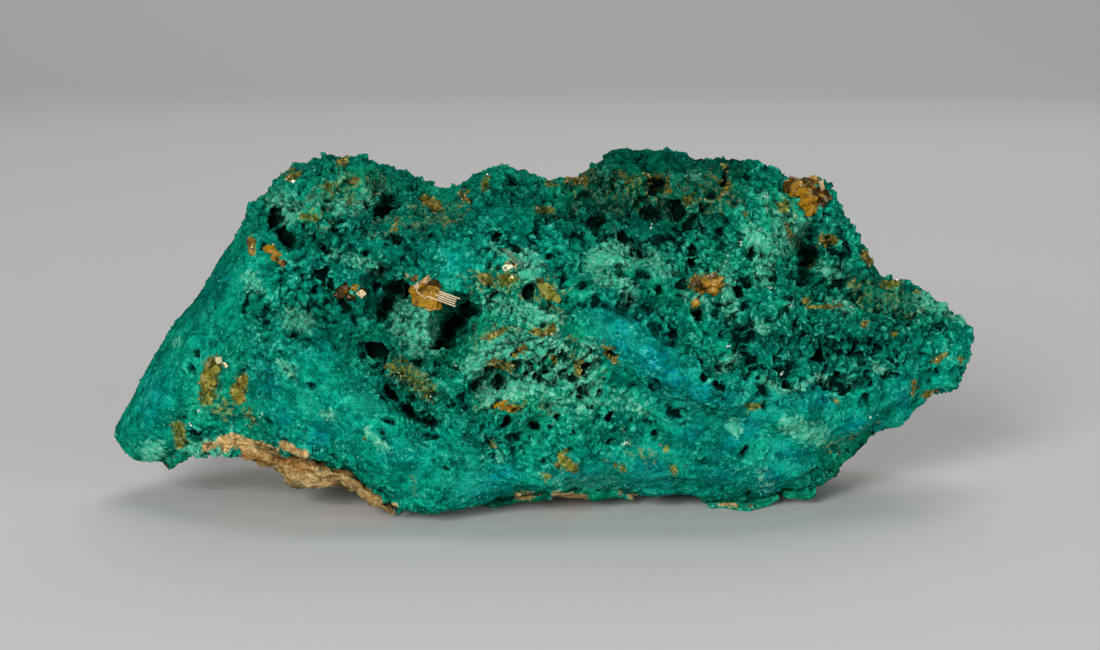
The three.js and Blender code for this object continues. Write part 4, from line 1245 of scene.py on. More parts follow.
def merged_copy(node: str) -> EditMesh:
    """A CAD node as one mesh in millimetres, with its loose triangles joined up.

    Args:
        node: the node's name.

    Returns:
        The mesh, open for editing.
    """
    bm = bmesh.new()
    bm.from_mesh(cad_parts[node].data)
    bmesh.ops.scale(bm, vec=(1 / MM,) * 3, verts=bm.verts)
    bmesh.ops.remove_doubles(bm, verts=bm.verts, dist=WELD)
    return bm


def to_mesh(bm: EditMesh, name: str = "work") -> Mesh:
    """Turns an edited mesh into a stored one.

    Args:
        bm: the edited mesh, which is freed.
        name: name of the stored one.

    Returns:
        The stored mesh.
    """
    mesh = bpy.data.meshes.new(name)
    bm.to_mesh(mesh)
    bm.free()
    return mesh


def main_shell(mesh: Mesh) -> Mesh:
    """The mesh without its small loose shells.

    Args:
        mesh: the mesh.

    Returns:
        A mesh of its largest shell.
    """
    a, b = ends_of(mesh)
    label = np.arange(len(mesh.vertices))
    while True:
        lower = label.copy()
        np.minimum.at(lower, a, label[b])
        np.minimum.at(lower, b, label[a])
        lower = lower[lower]
        if np.array_equal(lower, label):
            break
        label = lower
    largest = np.bincount(label).argmax()
    bm = bmesh.new()
    bm.from_mesh(mesh)
    bm.verts.ensure_lookup_table()
    loose = [bm.verts[index] for index in np.flatnonzero(label != largest)]
    bmesh.ops.delete(bm, geom=loose, context="VERTS")
    return to_mesh(bm)


class Form(Enum):
    """Small shapes that are copied many times."""

    CRUMB = "crumb"
    GRAIN = "grain"
    CHIP = "chip"

    def shape(self) -> tuple[Points, Points]:
        """The shape about the origin, as its points and its triangles.

        Returns:
            The points and the triangles.
        """
        bm = bmesh.new()
        if self is Form.CRUMB:
            bmesh.ops.create_icosphere(bm, subdivisions=2, radius=1.0)
        elif self is Form.GRAIN:
            bmesh.ops.create_uvsphere(bm, u_segments=4, v_segments=2, radius=1.0)
        else:
            bmesh.ops.create_cube(bm, size=1.5)
            for way in ((1, 0.7, 0.4), (-0.5, 1, -0.6), (0.3, -0.8, 1)):
                cut_back(bm, Vector(way).normalized(), 0.82)
        bmesh.ops.triangulate(bm, faces=bm.faces)
        bm.verts.index_update()
        points = np.array([tuple(v.co) for v in bm.verts])
        faces = np.array([[v.index for v in f.verts] for f in bm.faces])
        bm.free()
        return points, faces


def cut_back(bm: EditMesh, way: Vector, reach: float) -> None:
    """Cuts off all that lies beyond a plane, and closes the cut.

    Args:
        bm: the mesh.
        way: the plane's direction.
        reach: its distance from the origin.
    """
    parts = [*bm.verts, *bm.edges, *bm.faces]
    cut = bmesh.ops.bisect_plane(
        bm, geom=parts, plane_co=way * reach, plane_no=way, clear_outer=True, dist=TOUCH
    )
    edges = [part for part in cut["geom_cut"] if isinstance(part, bmesh.types.BMEdge)]
    for edge in edges:
        edge.smooth = False
    if edges:
        bmesh.ops.edgeloop_fill(bm, edges=edges)


def slabs(mesh: Mesh, seams: tuple[float, ...]) -> list[Mesh]:
    """The mesh cut across at some places, from left to right, each slab closed.

    Args:
        mesh: the mesh.
        seams: places of the cuts on X.

    Returns:
        The slabs.
    """
    parts = []
    for low, high in zip((None, *seams), (*seams, None)):
        bm = bmesh.new()
        bm.from_mesh(mesh)
        if low is not None:
            cut_back(bm, Vector((-1, 0, 0)), -low)
        if high is not None:
            cut_back(bm, Vector((1, 0, 0)), high)
        parts.append(to_mesh(bm))
    return parts


def turned(count: int, chance: Chance) -> Points:
    """A random turn for each of so many shapes, as matrices.

    Args:
        count: how many.
        chance: source of chance.

    Returns:
        The matrices.
    """
    w, x, y, z = unit(chance.normal(size=(count, 4))).T
    rows = (
        (1 - 2 * (y * y + z * z), 2 * (x * y - w * z), 2 * (x * z + w * y)),
        (2 * (x * y + w * z), 1 - 2 * (x * x + z * z), 2 * (y * z - w * x)),
        (2 * (x * z - w * y), 2 * (y * z + w * x), 1 - 2 * (x * x + y * y)),
    )
    return np.stack([np.stack(row, axis=1) for row in rows], axis=1)


def copies(form: Form, places: Points, sizes: Points, turns: Points) -> Mesh:
    """One mesh of many copies of a small shape.

    Args:
        form: the shape.
        places: the middle of each copy.
        sizes: half sizes of each copy along its own three axes.
        turns: each copy's turn, as a matrix.

    Returns:
        The joined mesh.
    """
    points, faces = form.shape()
    placed = np.einsum("nij,nvj->nvi", turns, points[None] * sizes[:, None]) + places[:, None]
    numbered = faces[None] + (np.arange(len(places)) * len(points))[:, None, None]
    mesh = bpy.data.meshes.new("copies")
    mesh.vertices.add(placed.size // 3)
    mesh.vertices.foreach_set("co", placed.astype(np.float32).ravel())
    mesh.loops.add(numbered.size)
    mesh.loops.foreach_set("vertex_index", numbered.astype(np.int32).ravel())
    mesh.polygons.add(numbered.size // 3)
    mesh.polygons.foreach_set("loop_start", np.arange(0, numbered.size, 3, dtype=np.int32))
    mesh.update(calc_edges=True)
    return mesh


def joined(meshes: list[Mesh]) -> Mesh:
    """Several meshes as one.

    Args:
        meshes: the meshes.

    Returns:
        The joined mesh.
    """
    bm = bmesh.new()
    for mesh in meshes:
        bm.from_mesh(mesh)
    return to_mesh(bm)


def settle(
    name: str, mesh: Mesh, material: Material, slot: str, smooth: bool, *nodes: str
) -> bpy.types.Object:
    """Makes a finished piece from a mesh in millimetres and puts it on the specimen's body.

    Args:
        name: the piece's name.
        mesh: its mesh.
        material: its finish.
        slot: the record's slot that the finish belongs to; not used.
        smooth: whether its faces are shaded smooth.
        nodes: CAD nodes that the piece stands for.

    Returns:
        The piece.
    """
    mesh.transform(Matrix.Scale(MM, 4))
    mesh.polygons.foreach_set("use_smooth", np.full(len(mesh.polygons), smooth))
    mesh.materials.clear()
    mesh.materials.append(material)
    mesh.name = name
    piece = bpy.data.objects.new(name, mesh)
    bpy.context.scene.collection.objects.link(piece)
    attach(piece, BODY)
    if nodes:
        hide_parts(*nodes)
    mesh.calc_loop_triangles()
    LOG.info("%s: %d triangles", name, len(mesh.loop_triangles))
    return piece


# ---------------- the rocks

MARKS = (
    "pit", "crust", "shade", "dim", "ink", "rim", "line", "tone", "sea",
    "blue", "mint", "foam_and_light", "gilt", "rust", "olive", "tan", "rock",
)
GREEN_SLOT = "green_herbertsmithite"
GREENED = strokes(
    ((-7, 1.6), (0, 1.4), (5, 1.6), (12, 1.6), 2.2),
    ((14, 2), (20, 4.4), (25, 7.4), (29, 11.5), (30.5, 13.5), 3.6), ((27.5, 15), (30, 12.6), 2.5),
    ((-29.5, 4.4), (-27, 8), 1.8), ((-26.8, 4.6), (-24.4, 4.3), (-22.3, 4.7), 1.25),
    ((-24.6, 6.2), (-21.8, 6.6), (-20.4, 7.3), (-18.4, 7.1), (-16.3, 6.4), (-15.1, 5.6), 1.2),
    ((-15.1, 5.6), (-13.3, 4.9), (-11.9, 3.8), (-10.2, 2.7), 1.1),
)
STAINED = strokes(
    ((-18.6, 4.6), (-17.2, 3.6), (-15.4, 3.7), 0.55, 1.1), ((-13.4, 3.4), (-12, 2.2), 0.4, 0.8),
)


def greening(points: Points, lie: Lie) -> Points:
    """How far the green crust covers the tan rock, from 0 to 1.

    Args:
        points: places in millimetres.
        lie: the rock's broad lie.

    Returns:
        A share for each point.
    """
    front = lie.facing(points, -0.6, 0.0) * painted(GREENED, Sheet(SIGHT.on_sheet(points)))
    patches = ease(Noise.rough(points, 7.0, 240), 0.05, 0.4) * ease(points[:, 2], 1.0, 4.0)
    tips = ease(points[:, 0], 26.5, 28.0)
    return np.clip(np.maximum(np.maximum(1.3 * front, tips), 0.9 * patches), 0, 1)


def hollowness(mesh: Mesh, reach: float, voxel: float) -> Points:
    """How far each vertex lies below the mean of its surroundings, in millimetres."""
    mean = spread(mesh, points_of(mesh), max(2, round(2 * (reach / voxel) ** 2)))
    return np.einsum("ij,ij->i", mean - points_of(mesh), normals_of(mesh))


def on_floor(points: Points) -> Points:
    """The points, with none below the floor."""
    return np.maximum(points, (-np.inf, -np.inf, 0.0))


@dataclass(frozen=True)
class Side:
    """One side of the mass: where it ends, how finely it is made, and where it is cut across."""

    name: str
    way: int
    end: float
    first_voxel: float
    last_voxel: float
    crumbs: int
    triangles: int
    seams: tuple[float, ...] = ()


@dataclass
class GreenMass:
    """The green herbertsmithite, pitted and crumbly, with its bands and stains.

    Its core is the solid with the seats filled, joined to the rock, softened and grown. The crumbs
    measure from the least to the least and the extra, and the foot is drawn together.
    """

    node: str = "herbertsmithite_mass"
    rock: str = "tan_matrix"
    core_voxel: float = 0.3
    softened: int = 5
    grown: float = -0.22
    rock_sunk: float = 0.6
    seat_filled: float = 0.62
    seat_sunk: float = 0.9
    crumb_least: float = 0.17
    crumb_extra: float = 0.33
    foot_height: float = 1.1
    foot_drawn: Triple = (0.03, 0.28, 0.0)
    seed: int = 11
    sides: tuple[Side, ...] = (
        Side("face", 1, 7.0, 0.18, 0.12, 7500, 185_000, (-9.3, 9.3)),
        Side("back", -1, 3.0, 0.3, 0.2, 2600, 110_000),
    )
    lie: Lie | None = None
    surface: Surface | None = None

    def build(self, finish: Material) -> None:
        """Shapes the mass, dresses it and puts it in place of its solid.

        Args:
            finish: the finish of the crust.
        """
        core = self.rounded()
        self.lie = Lie(core)
        parts: dict[str, Mesh] = {}
        for side in self.sides:
            bm = bmesh.new()
            bm.from_mesh(core)
            cut_back(bm, Vector((0, side.way, 0)), side.way * side.end)
            mesh = remeshed(to_mesh(bm), side.first_voxel)
            self.carve(mesh)
            mesh = self.crumbled(mesh, side)
            self.roughen(mesh)
            self.mark(mesh, side.last_voxel)
            for number, slab in enumerate(slabs(mesh, side.seams)):
                parts[f"{side.name}_{number + 1}"] = thinned(slab, side.triangles)
        self.surface = Surface(list(parts.values()))
        for name, mesh in parts.items():
            settle(f"green_{name}", mesh, finish, GREEN_SLOT, True, self.node)

    def rounded(self) -> Mesh:
        """The solid with its facets rounded off and its crystal seats filled.

        Returns:
            The core that both sides are made from.
        """
        rock = remeshed(to_mesh(merged_copy(self.rock)), self.core_voxel)
        points = points_of(rock)
        green = greening(points, Lie(rock))
        move_points(rock, points - self.rock_sunk * (1 - green)[:, None] * normals_of(rock))
        bm = merged_copy(self.node)
        bm.from_mesh(rock)
        for cluster in CLUSTERS:
            low, high = (np.array(corner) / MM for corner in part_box(cluster.node))
            matrix = Matrix.Translation(Vector((low + high) / 2 + (0, self.seat_sunk, 0)))
            matrix @= Matrix.Diagonal((*(high - low) * self.seat_filled, 1))
            bmesh.ops.create_icosphere(bm, subdivisions=3, radius=1.0, matrix=matrix)
        mesh = main_shell(remeshed(to_mesh(bm), self.core_voxel))
        move_points(mesh, spread(mesh, points_of(mesh), self.softened))
        move_points(mesh, points_of(mesh) + self.grown * normals_of(mesh))
        return mesh

    def crumbliness(self, points: Points) -> Points:
        """How crumbly the crust is, from 0 on the smooth bands to 1.

        Args:
            points: places in millimetres.

        Returns:
            A share for each point.
        """
        sheet = Sheet(SIGHT.on_sheet(points))
        facing = self.lie.facing(points, -0.7, -0.2)
        smooth = np.minimum(painted(SMOOTH, sheet), 1.0) * facing
        porous = painted(POROUS, sheet) * facing
        patchy = 0.5 + 0.5 * Noise.rough(points, 5.0, 41)
        return np.clip((1 - 0.86 * smooth) * (0.55 + 0.3 * patchy + 0.35 * porous), 0, 1)

    def carve(self, mesh: Mesh) -> None:
        """Cuts the pits and raises the lumps.

        Args:
            mesh: the mesh.
        """
        points = points_of(mesh)
        facing = self.lie.facing(points)
        crumbly = self.crumbliness(points)
        wobble = Noise.pushes(points, 1.5, (5, 15), 4)
        ripple = Noise.pushes(points, 0.5, (25, 35), 2)
        sheet = Sheet(SIGHT.on_sheet(points) + 0.5 * wobble + 0.16 * ripple)
        depth = np.maximum(0.7 * painted(SHADE, sheet), painted(DENTS, sheet))
        swell = painted(SWELLS, sheet)
        for pit in PITS:
            inside, bowl = pit.bowl(sheet)
            depth[inside] = np.maximum(depth[inside], (0.3 + pit.depth) * bowl**0.7)
        rise = 0.3 * Noise.rough(points, 4.0, 21) * (0.4 + 0.6 * crumbly)
        for size, height, salt in ((3.0, 0.7, 50), (1.7, 0.6, 60)):
            near, _, number = Noise.cells(points, size, salt)
            rise += crumbly * height * (0.62 - near + 0.5 * (number - 0.5))
        change = (rise + swell - facing * depth) * ease(points[:, 2], 0.0, 1.4)
        moved = points + self.lie.out(points) * change[:, None]
        moved[:, 2] += painted(RAISED, sheet)
        low = np.clip(1 - moved[:, 2] / self.foot_height, 0, 1)
        foot = np.average(moved, axis=0, weights=low + 1e-9)
        move_points(mesh, moved - low[:, None] * (moved - foot) * self.foot_drawn)

    def crumbled(self, mesh: Mesh, side: Side) -> Mesh:
        """The mesh with crumbs grown together over its crumbly parts.

        Args:
            mesh: the mesh.
            side: the side that it is.

        Returns:
            A new mesh.
        """
        chance = np.random.default_rng(self.seed)
        points, normals = points_of(mesh), normals_of(mesh)
        crumbly = self.crumbliness(points)
        clumps = ease(Noise.rough(points, 1.6, 45), -0.4, 0.5)
        weight = np.clip(crumbly - 0.14, 0, 1) ** 1.3 * (0.25 + clumps) + 0.003
        weight *= ease(points[:, 2], 0.5, 1.5)
        chosen = chance.choice(len(points), side.crumbs, p=weight / weight.sum())
        size = self.crumb_least + self.crumb_extra * chance.random(side.crumbs) ** 2
        stretch = chance.uniform(0.65, 1.3, (side.crumbs, 3))
        sink = size * chance.uniform(0.25, 0.85, side.crumbs)
        middles = points[chosen] - normals[chosen] * sink[:, None]
        crumbs = copies(Form.CRUMB, middles, size[:, None] * stretch, turned(side.crumbs, chance))
        corners = points_of(crumbs)
        reach = np.repeat(size, len(corners) // side.crumbs)
        push = Noise.pushes(corners, 0.33, (46, 47, 48), 1)
        move_points(crumbs, corners + 0.55 * reach[:, None] * push)
        return main_shell(remeshed(joined([mesh, crumbs]), side.last_voxel))

    def roughen(self, mesh: Mesh) -> None:
        """Roughens the crust, opens its gaps, marks its lumps and stores painted shade for its cracks and
        pockets.

        Args:
            mesh: the mesh.
        """
        points, normals = points_of(mesh), normals_of(mesh)
        facing = self.lie.facing(points)
        crumbly = self.crumbliness(points)
        porous = painted(POROUS, Sheet(SIGHT.on_sheet(points))) * facing
        pushed = points + 0.2 * Noise.pushes(points, 0.8, (71, 72, 73))
        able = ease(crumbly, 0.2, 0.6) * (0.5 + 0.75 * porous)
        pocket = able * ease(Noise.rough(points, 1.8, 70, 4), 0.16, 0.38)
        prick = able * ease(Noise.rough(points, 0.9, 75, 3), 0.3, 0.52)
        rise = -0.9 * pocket - 0.5 * prick
        gaps, tone = np.zeros(len(points)), np.zeros(len(points))
        layers = ((0.95, 0.18, 0.32, 77), (0.52, 0.15, 0.25, 80), (0.3, 0.07, 0.08, 84))
        for size, dome, gap, salt in layers:
            near, second, number = Noise.cells(pushed, size, salt)
            opened = ease(Noise.rough(points, 2.2 * size, salt + 9, 2), -0.2, 0.35)
            crack = crumbly * opened * ease(0.22 - (second - near), 0.0, 0.2)
            share = crumbly + (1 - crumbly) * (0.08 if size > 0.9 else 0.5)
            rise += share * dome * (0.45 - near + 0.4 * (number - 0.5)) - gap * crack
            gaps = np.maximum(gaps, crack * gap / 0.36)
            tone += number / 3
        ridge = ease(0.1 - np.abs(Noise.rough(points, 1.3, 95, 3)), 0.0, 0.09)
        ridge *= ease(Noise.rough(points, 2.4, 98, 2), -0.2, 0.3)
        rise += 0.06 * ridge + (0.05 + 0.03 * crumbly) * Noise.rough(points, 0.5, 90)
        rise *= ease(points[:, 2], 0.0, 1.2)
        # gap: painted shade for the cracks and pockets, added to the pit mark
        set_attribute(mesh, "gap", np.clip(gaps + 0.6 * pocket + 0.5 * prick, 0, 1))
        set_attribute(mesh, "tone", ease(tone, 0.15, 0.85))
        set_attribute(mesh, "line", ridge)
        move_points(mesh, on_floor(points + normals * rise[:, None]))

    def mark(self, mesh: Mesh, voxel: float) -> None:
        """Stores where the crust is blue, pale or stained, and where shade and light are painted on it.

        Args:
            mesh: the mesh.
            voxel: size of its faces.
        """
        points = points_of(mesh)
        facing = self.lie.facing(points)
        wobble = Noise.pushes(points, 1.3, (101, 111))
        ripple = Noise.pushes(points, 0.4, (102, 112), 2)
        sheet = Sheet(SIGHT.on_sheet(points) + 0.25 * wobble + 0.1 * ripple)
        hollow, dent = hollowness(mesh, 0.55, voxel), hollowness(mesh, 0.2, voxel)
        pit = np.zeros(len(points))
        for one in PITS:
            inside, bowl = one.bowl(sheet)
            pit[inside] = np.maximum(pit[inside], min(one.depth, 1.0) * ease(bowl, 0.12, 0.8))
        sunk = ease(hollow, 0.05, 0.3)
        patch = Noise.rough(points, 6.0, 120)
        back = 1 - facing
        spots = facing + back * ease(Noise.rough(points, 1.1, 140), 0.04, 0.2)
        wide = self.lie.facing(points, -0.35, 0.05)
        stained = wide * spots
        bare = 0.5 * (1 - self.lie.facing(points, -0.5, -0.1))
        # painted shade: the pits, hollows, dents and gaps are darkened in the colour
        dark = facing * 0.95 * pit + 0.9 * sunk + 0.3 * ease(dent, 0.01, 0.08)
        marks = {
            "pit": np.clip(dark + 0.6 * read_attribute(mesh, "gap"), 0, 0.98),
            "crust": self.crumbliness(points),
            "shade": facing * painted(SHADE, sheet),
            "dim": wide * painted(DIM, sheet),
            "ink": facing * painted(INK, sheet),
            # rim: paler on convex edges, partly the crust's paler crystal tips and partly painted highlight
            "rim": 0.6 * ease(-hollow, 0.02, 0.25) + 0.3 * ease(-dent, 0.01, 0.07),
            "sea": 0.45 + facing * (0.45 * painted(SEA, sheet) - 0.6 * painted(LEAFY, sheet)),
            "blue": facing * painted(BLUE, sheet) + back * 0.5 * ease(patch, 0.2, 0.6),
            "mint": stained * painted(MINT, sheet) + back * 0.4 * ease(-patch, 0.3, 0.7),
            # painted light on stretches that the lamps leave in shade
            "foam_and_light": facing * painted(PAINTED_LIGHT, sheet),
            "gilt": facing * painted(GILT, sheet),
            "rust": stained * painted(RUST, sheet) + back * 0.6 * ease(patch, 0.6, 0.8),
            "olive": stained * painted(OLIVE, sheet),
            "tan": stained * painted(TAN, sheet),
            "rock": bare * ease(Noise.rough(points, 8.0, 130), 0.1, 0.6),
        }
        for name, values in marks.items():
            set_attribute(mesh, name, values)


@dataclass
class TanRock:
    """The tan rock that the green mass grew on."""

    node: str = "tan_matrix"
    voxel: float = 0.22
    softened: int = 4
    grown: float = 0.16
    hidden: float = -0.7
    triangles: int = 80_000

    def build(self, finish: Material) -> None:
        """Shapes the rock, dresses it and puts it in place of its solid.

        Args:
            finish: the finish of the rock.
        """
        mesh = main_shell(remeshed(to_mesh(merged_copy(self.node)), self.voxel))
        move_points(mesh, spread(mesh, points_of(mesh), self.softened))
        lie = Lie(mesh)
        points, normals = points_of(mesh), normals_of(mesh)
        resting = ease(points[:, 2], 0.1, 1.0)
        green = greening(points, lie)
        rise = 0.35 * Noise.rough(points, 3.4, 201, 4) + 0.12 * Noise.rough(points, 0.8, 205)
        for size, height, salt in ((3.2, 0.5, 210), (1.3, 0.5, 220), (0.7, 0.4, 230)):
            near, _, number = Noise.cells(points, size, salt)
            rise += height * 0.7 * (number - 0.5) + height * 0.7 * (0.5 - near)
        grown = self.grown + (self.hidden - self.grown) * green * ease(points[:, 2], 0.6, 2.2)
        change = grown + (0.25 + 0.55 * resting) * (1 - 0.35 * green) * rise
        points = points + normals * change[:, None]
        points[:, 2] += green * painted(RAISED, Sheet(SIGHT.on_sheet(points)))
        move_points(mesh, on_floor(points))
        hollow, dent = hollowness(mesh, 0.6, self.voxel), hollowness(mesh, 0.25, self.voxel)
        points = points_of(mesh)
        sheet = Sheet(SIGHT.on_sheet(points))
        marks = dict.fromkeys(MARKS, np.zeros(len(points)))
        marks |= {
            # painted shade in the rock's hollows and dents; rim is paler on convex edges, partly painted
            # highlight
            "pit": 0.8 * ease(hollow, 0.06, 0.32) + 0.4 * ease(dent, 0.02, 0.1),
            "crust": np.full(len(points), 0.5),
            "tone": np.full(len(points), 0.5),
            "rim": ease(-hollow, 0.02, 0.3),
            "line": painted(STAINED, sheet),
            "tan": 0.75 * lie.facing(points, -0.3, 0.1) * painted(TAN, sheet),
            "blue": 0.6 * ease(Noise.rough(points, 4.0, 250), 0.0, 0.5),
            "rock": 1 - 0.8 * greening(points, lie),
        }
        for name, values in marks.items():
            set_attribute(mesh, name, np.clip(values, 0, 1))
        settle("rock", thinned(mesh, self.triangles), finish, "tan_rock", True, self.node)


# ---------------- grains of the crust


@dataclass(frozen=True)
class Grains:
    """Many small crystals scattered over the green crust, most of them where the wanted marks are.

    A mark counts above the faint level, and no grain is put lower than the lowest height or on a
    triangle thinner than the narrowest, both in millimetres.
    """

    name: str
    form: Form
    count: int
    size: Spot
    seed: int
    wanted: dict[str, float]
    anywhere: float = 0.0
    slot: str = GREEN_SLOT
    faint: float = 0.15
    lowest: float = 0.4
    narrowest: float = 1e-5

    def build(self, surface: Surface, finish: Material) -> None:
        """Scatters the grains and puts them on the mass.

        Args:
            surface: the crust.
            finish: the finish of the grains.
        """
        chance = np.random.default_rng(self.seed)
        corners = surface.points[surface.triangles]
        whole = np.ptp(corners, axis=1).min(axis=1) > self.narrowest
        triangles, corners = surface.triangles[whole], corners[whole]
        cross = np.cross(corners[:, 1] - corners[:, 0], corners[:, 2] - corners[:, 0])
        marks = {name: values[triangles[:, 0]] for name, values in surface.marks.items()}
        middle = corners.mean(axis=1)
        facing = np.einsum("ij,ij->i", unit(cross), unit(SIGHT.eye - middle))
        share = sum(part * np.clip(marks[name] - self.faint, 0, 1) for name, part in self.wanted.items())
        share = np.clip(share + self.anywhere, 0, None) * (1 - 0.7 * marks["pit"])
        weight = np.linalg.norm(cross, axis=1) * share * (0.15 + 0.85 * ease(facing, -0.4, 0.3))
        weight[middle[:, 2] < self.lowest] = 0
        chosen = chance.choice(len(triangles), self.count, p=weight / weight.sum())
        mixed = chance.dirichlet((1, 1, 1), self.count)
        low, high = self.size
        size = low + (high - low) * chance.random(self.count) ** 2.5
        stretch = chance.uniform(0.7, 1.4, (self.count, 3))
        lift = size * chance.uniform(0.0, 0.5, self.count)
        places = np.einsum("nk,nki->ni", mixed, corners[chosen]) + unit(cross[chosen]) * lift[:, None]
        mesh = copies(self.form, places, size[:, None] * stretch, turned(self.count, chance))
        repeat = len(mesh.vertices) // self.count
        picked = {name: values[chosen] for name, values in marks.items()}
        picked["tone"] = self.tones(chance, picked["tone"])
        for name, values in picked.items():
            set_attribute(mesh, name, np.repeat(values, repeat))
        settle(self.name, mesh, finish, self.slot, False)

    @staticmethod
    def tones(chance: Chance, under: Points) -> Points:
        """How bright each grain is: partly by chance, partly as what it sits on."""
        return np.clip(0.6 * chance.random(len(under)) + 0.6 * under - 0.1, 0, 1)


SUGAR = Grains("crust_sugar", Form.GRAIN, 11_000, (0.05, 0.13), 31, {"crust": 0.6, "rim": 0.8}, 0.1)
SPARKLE = Grains("crust_sparkle", Form.GRAIN, 6_000, (0.035, 0.08), 32, {"mint": 0.8}, 0.3)
GRIT = Grains(
    "grit", Form.CHIP, 2_000, (0.05, 0.13), 33, {"rust": 1.0, "olive": 0.4}, slot="amber_crystal"
)


# ---------------- crystals


@dataclass(frozen=True)
class Block:
    """One crystal: its middle and half sizes on the sheet, its turn in degrees and how bright it is.

    A striated one has ribs. The lift draws it out of the crust, and the root is the spot that it
    grows from if that isn't the spot where it is seen.
    """

    at: Spot
    half: Spot
    turn: float = 0.0
    tone: float = 0.5
    ribs: int = 0
    lift: float = 0.0
    root: Spot | None = None


@dataclass(frozen=True)
class Cluster:
    """Crystals that grew together in one seat, each of several parts that are cut to flat faces."""

    PARTS: ClassVar[int] = 5
    CUTS: ClassVar[int] = 8
    BEVEL: ClassVar[float] = 0.05

    node: str
    gem: Gem
    slot: str
    blocks: tuple[Block, ...]

    def build(self, surface: Surface, finish: Material) -> None:
        """Cuts the crystals and seats them in the crust.

        Args:
            surface: the crust.
            finish: the finish of the crystals.
        """
        chance = np.random.default_rng(len(self.node))
        bm = bmesh.new()
        tone = bm.verts.layers.float.new("tone")
        for block in self.blocks:
            before = set(bm.verts)
            part = bmesh.new()
            if block.ribs:
                self.ribbed(part, block)
            else:
                self.faceted(part, block, chance)
            bmesh.ops.transform(part, matrix=self.seat(block, surface, chance), verts=part.verts)
            bm.from_mesh(to_mesh(part))
            for vert in set(bm.verts) - before:
                vert[tone] = block.tone
        name = self.node.removesuffix("_crystals").removesuffix("_crystal")
        settle(f"{name}_gems", to_mesh(bm), finish, self.slot, False, self.node)

    @staticmethod
    def seat(block: Block, surface: Surface, chance: Chance) -> Matrix:
        """Where a crystal goes: across the sheet, up it, and towards the viewer.

        Args:
            block: the crystal.
            surface: the crust.
            chance: source of chance.

        Returns:
            Its matrix.
        """
        root = block.root or block.at
        place, normal = surface.behind(root)
        turn = math.radians(block.turn)
        across, up = Vector((1, 0, 0)), Vector(SIGHT.upward)
        tilt = Vector(chance.uniform(-0.25, 0.25, 3)) * (0 if block.ribs else 1)
        one = (math.cos(turn) * across + math.sin(turn) * up + tilt * 0.6).normalized()
        out = (Vector(-SIGHT.forward) + 0.5 * normal + tilt).normalized()
        two = out.cross(one).normalized()
        out = one.cross(two)
        middle = place + out * (block.lift - 0.15 * min(block.half))
        if block.root:
            middle += across * (block.at[0] - root[0]) + up * (block.at[1] - root[1])
        else:
            middle += up * block.lift
        return Matrix((
            (one.x, two.x, out.x, middle.x),
            (one.y, two.y, out.y, middle.y),
            (one.z, two.z, out.z, middle.z),
            (0, 0, 0, 1),
        ))

    @classmethod
    def faceted(cls, bm: EditMesh, block: Block, chance: Chance) -> None:
        """A block with its corners and edges cut to flat faces, and smaller ones grown on it.

        Args:
            bm: mesh that it is added to.
            block: the crystal.
            chance: source of chance.
        """
        half = np.array((*block.half, 0.6 * min(block.half) + 0.08))
        for number in range(cls.PARTS):
            share = chance.uniform(0.75, 0.9) if number == 0 else chance.uniform(0.35, 0.55)
            part = bmesh.new()
            bmesh.ops.create_cube(part, size=2.0)
            for _ in range(cls.CUTS):
                way = Vector(unit(chance.normal(size=(1, 3)))[0])
                cut_back(part, way, chance.uniform(0.9, 1.12))
            bmesh.ops.bevel(
                part, geom=part.edges, offset=cls.BEVEL, segments=1, profile=0.5, affect="EDGES",
                clamp_overlap=True, material=-1,
            )
            bmesh.ops.scale(part, vec=share * half * chance.uniform(0.8, 1.25, 3), verts=part.verts)
            turn = Matrix(turned(1, chance)[0]).to_4x4() if number else Matrix.Rotation(0.3, 4, "Z")
            off = unit(chance.normal(size=(1, 3)))[0] * half * (0.55 if number else 0)
            bmesh.ops.transform(part, matrix=Matrix.Translation(off) @ turn, verts=part.verts)
            bm.from_mesh(to_mesh(part))

    @staticmethod
    def ribbed(bm: EditMesh, block: Block) -> None:
        """Thin prisms side by side, as a striated blade.

        Args:
            bm: mesh that they are added to.
            block: the crystal.
        """
        pitch = 2 * block.half[1] / block.ribs
        for rib in range(block.ribs):
            reach = block.half[0] * (1 - 0.07 * ((rib * 7) % 4))
            across = (rib + 0.5) * pitch - block.half[1]
            matrix = Matrix.Translation((0.06 * ((rib * 5) % 3), across, 0.1 - 0.07 * (rib % 2)))
            matrix @= Matrix.Rotation(math.pi / 2, 4, "Y")
            bmesh.ops.create_cone(
                bm, cap_ends=True, segments=6, radius1=0.33 * pitch, radius2=0.26 * pitch,
                depth=2 * reach, matrix=matrix,
            )


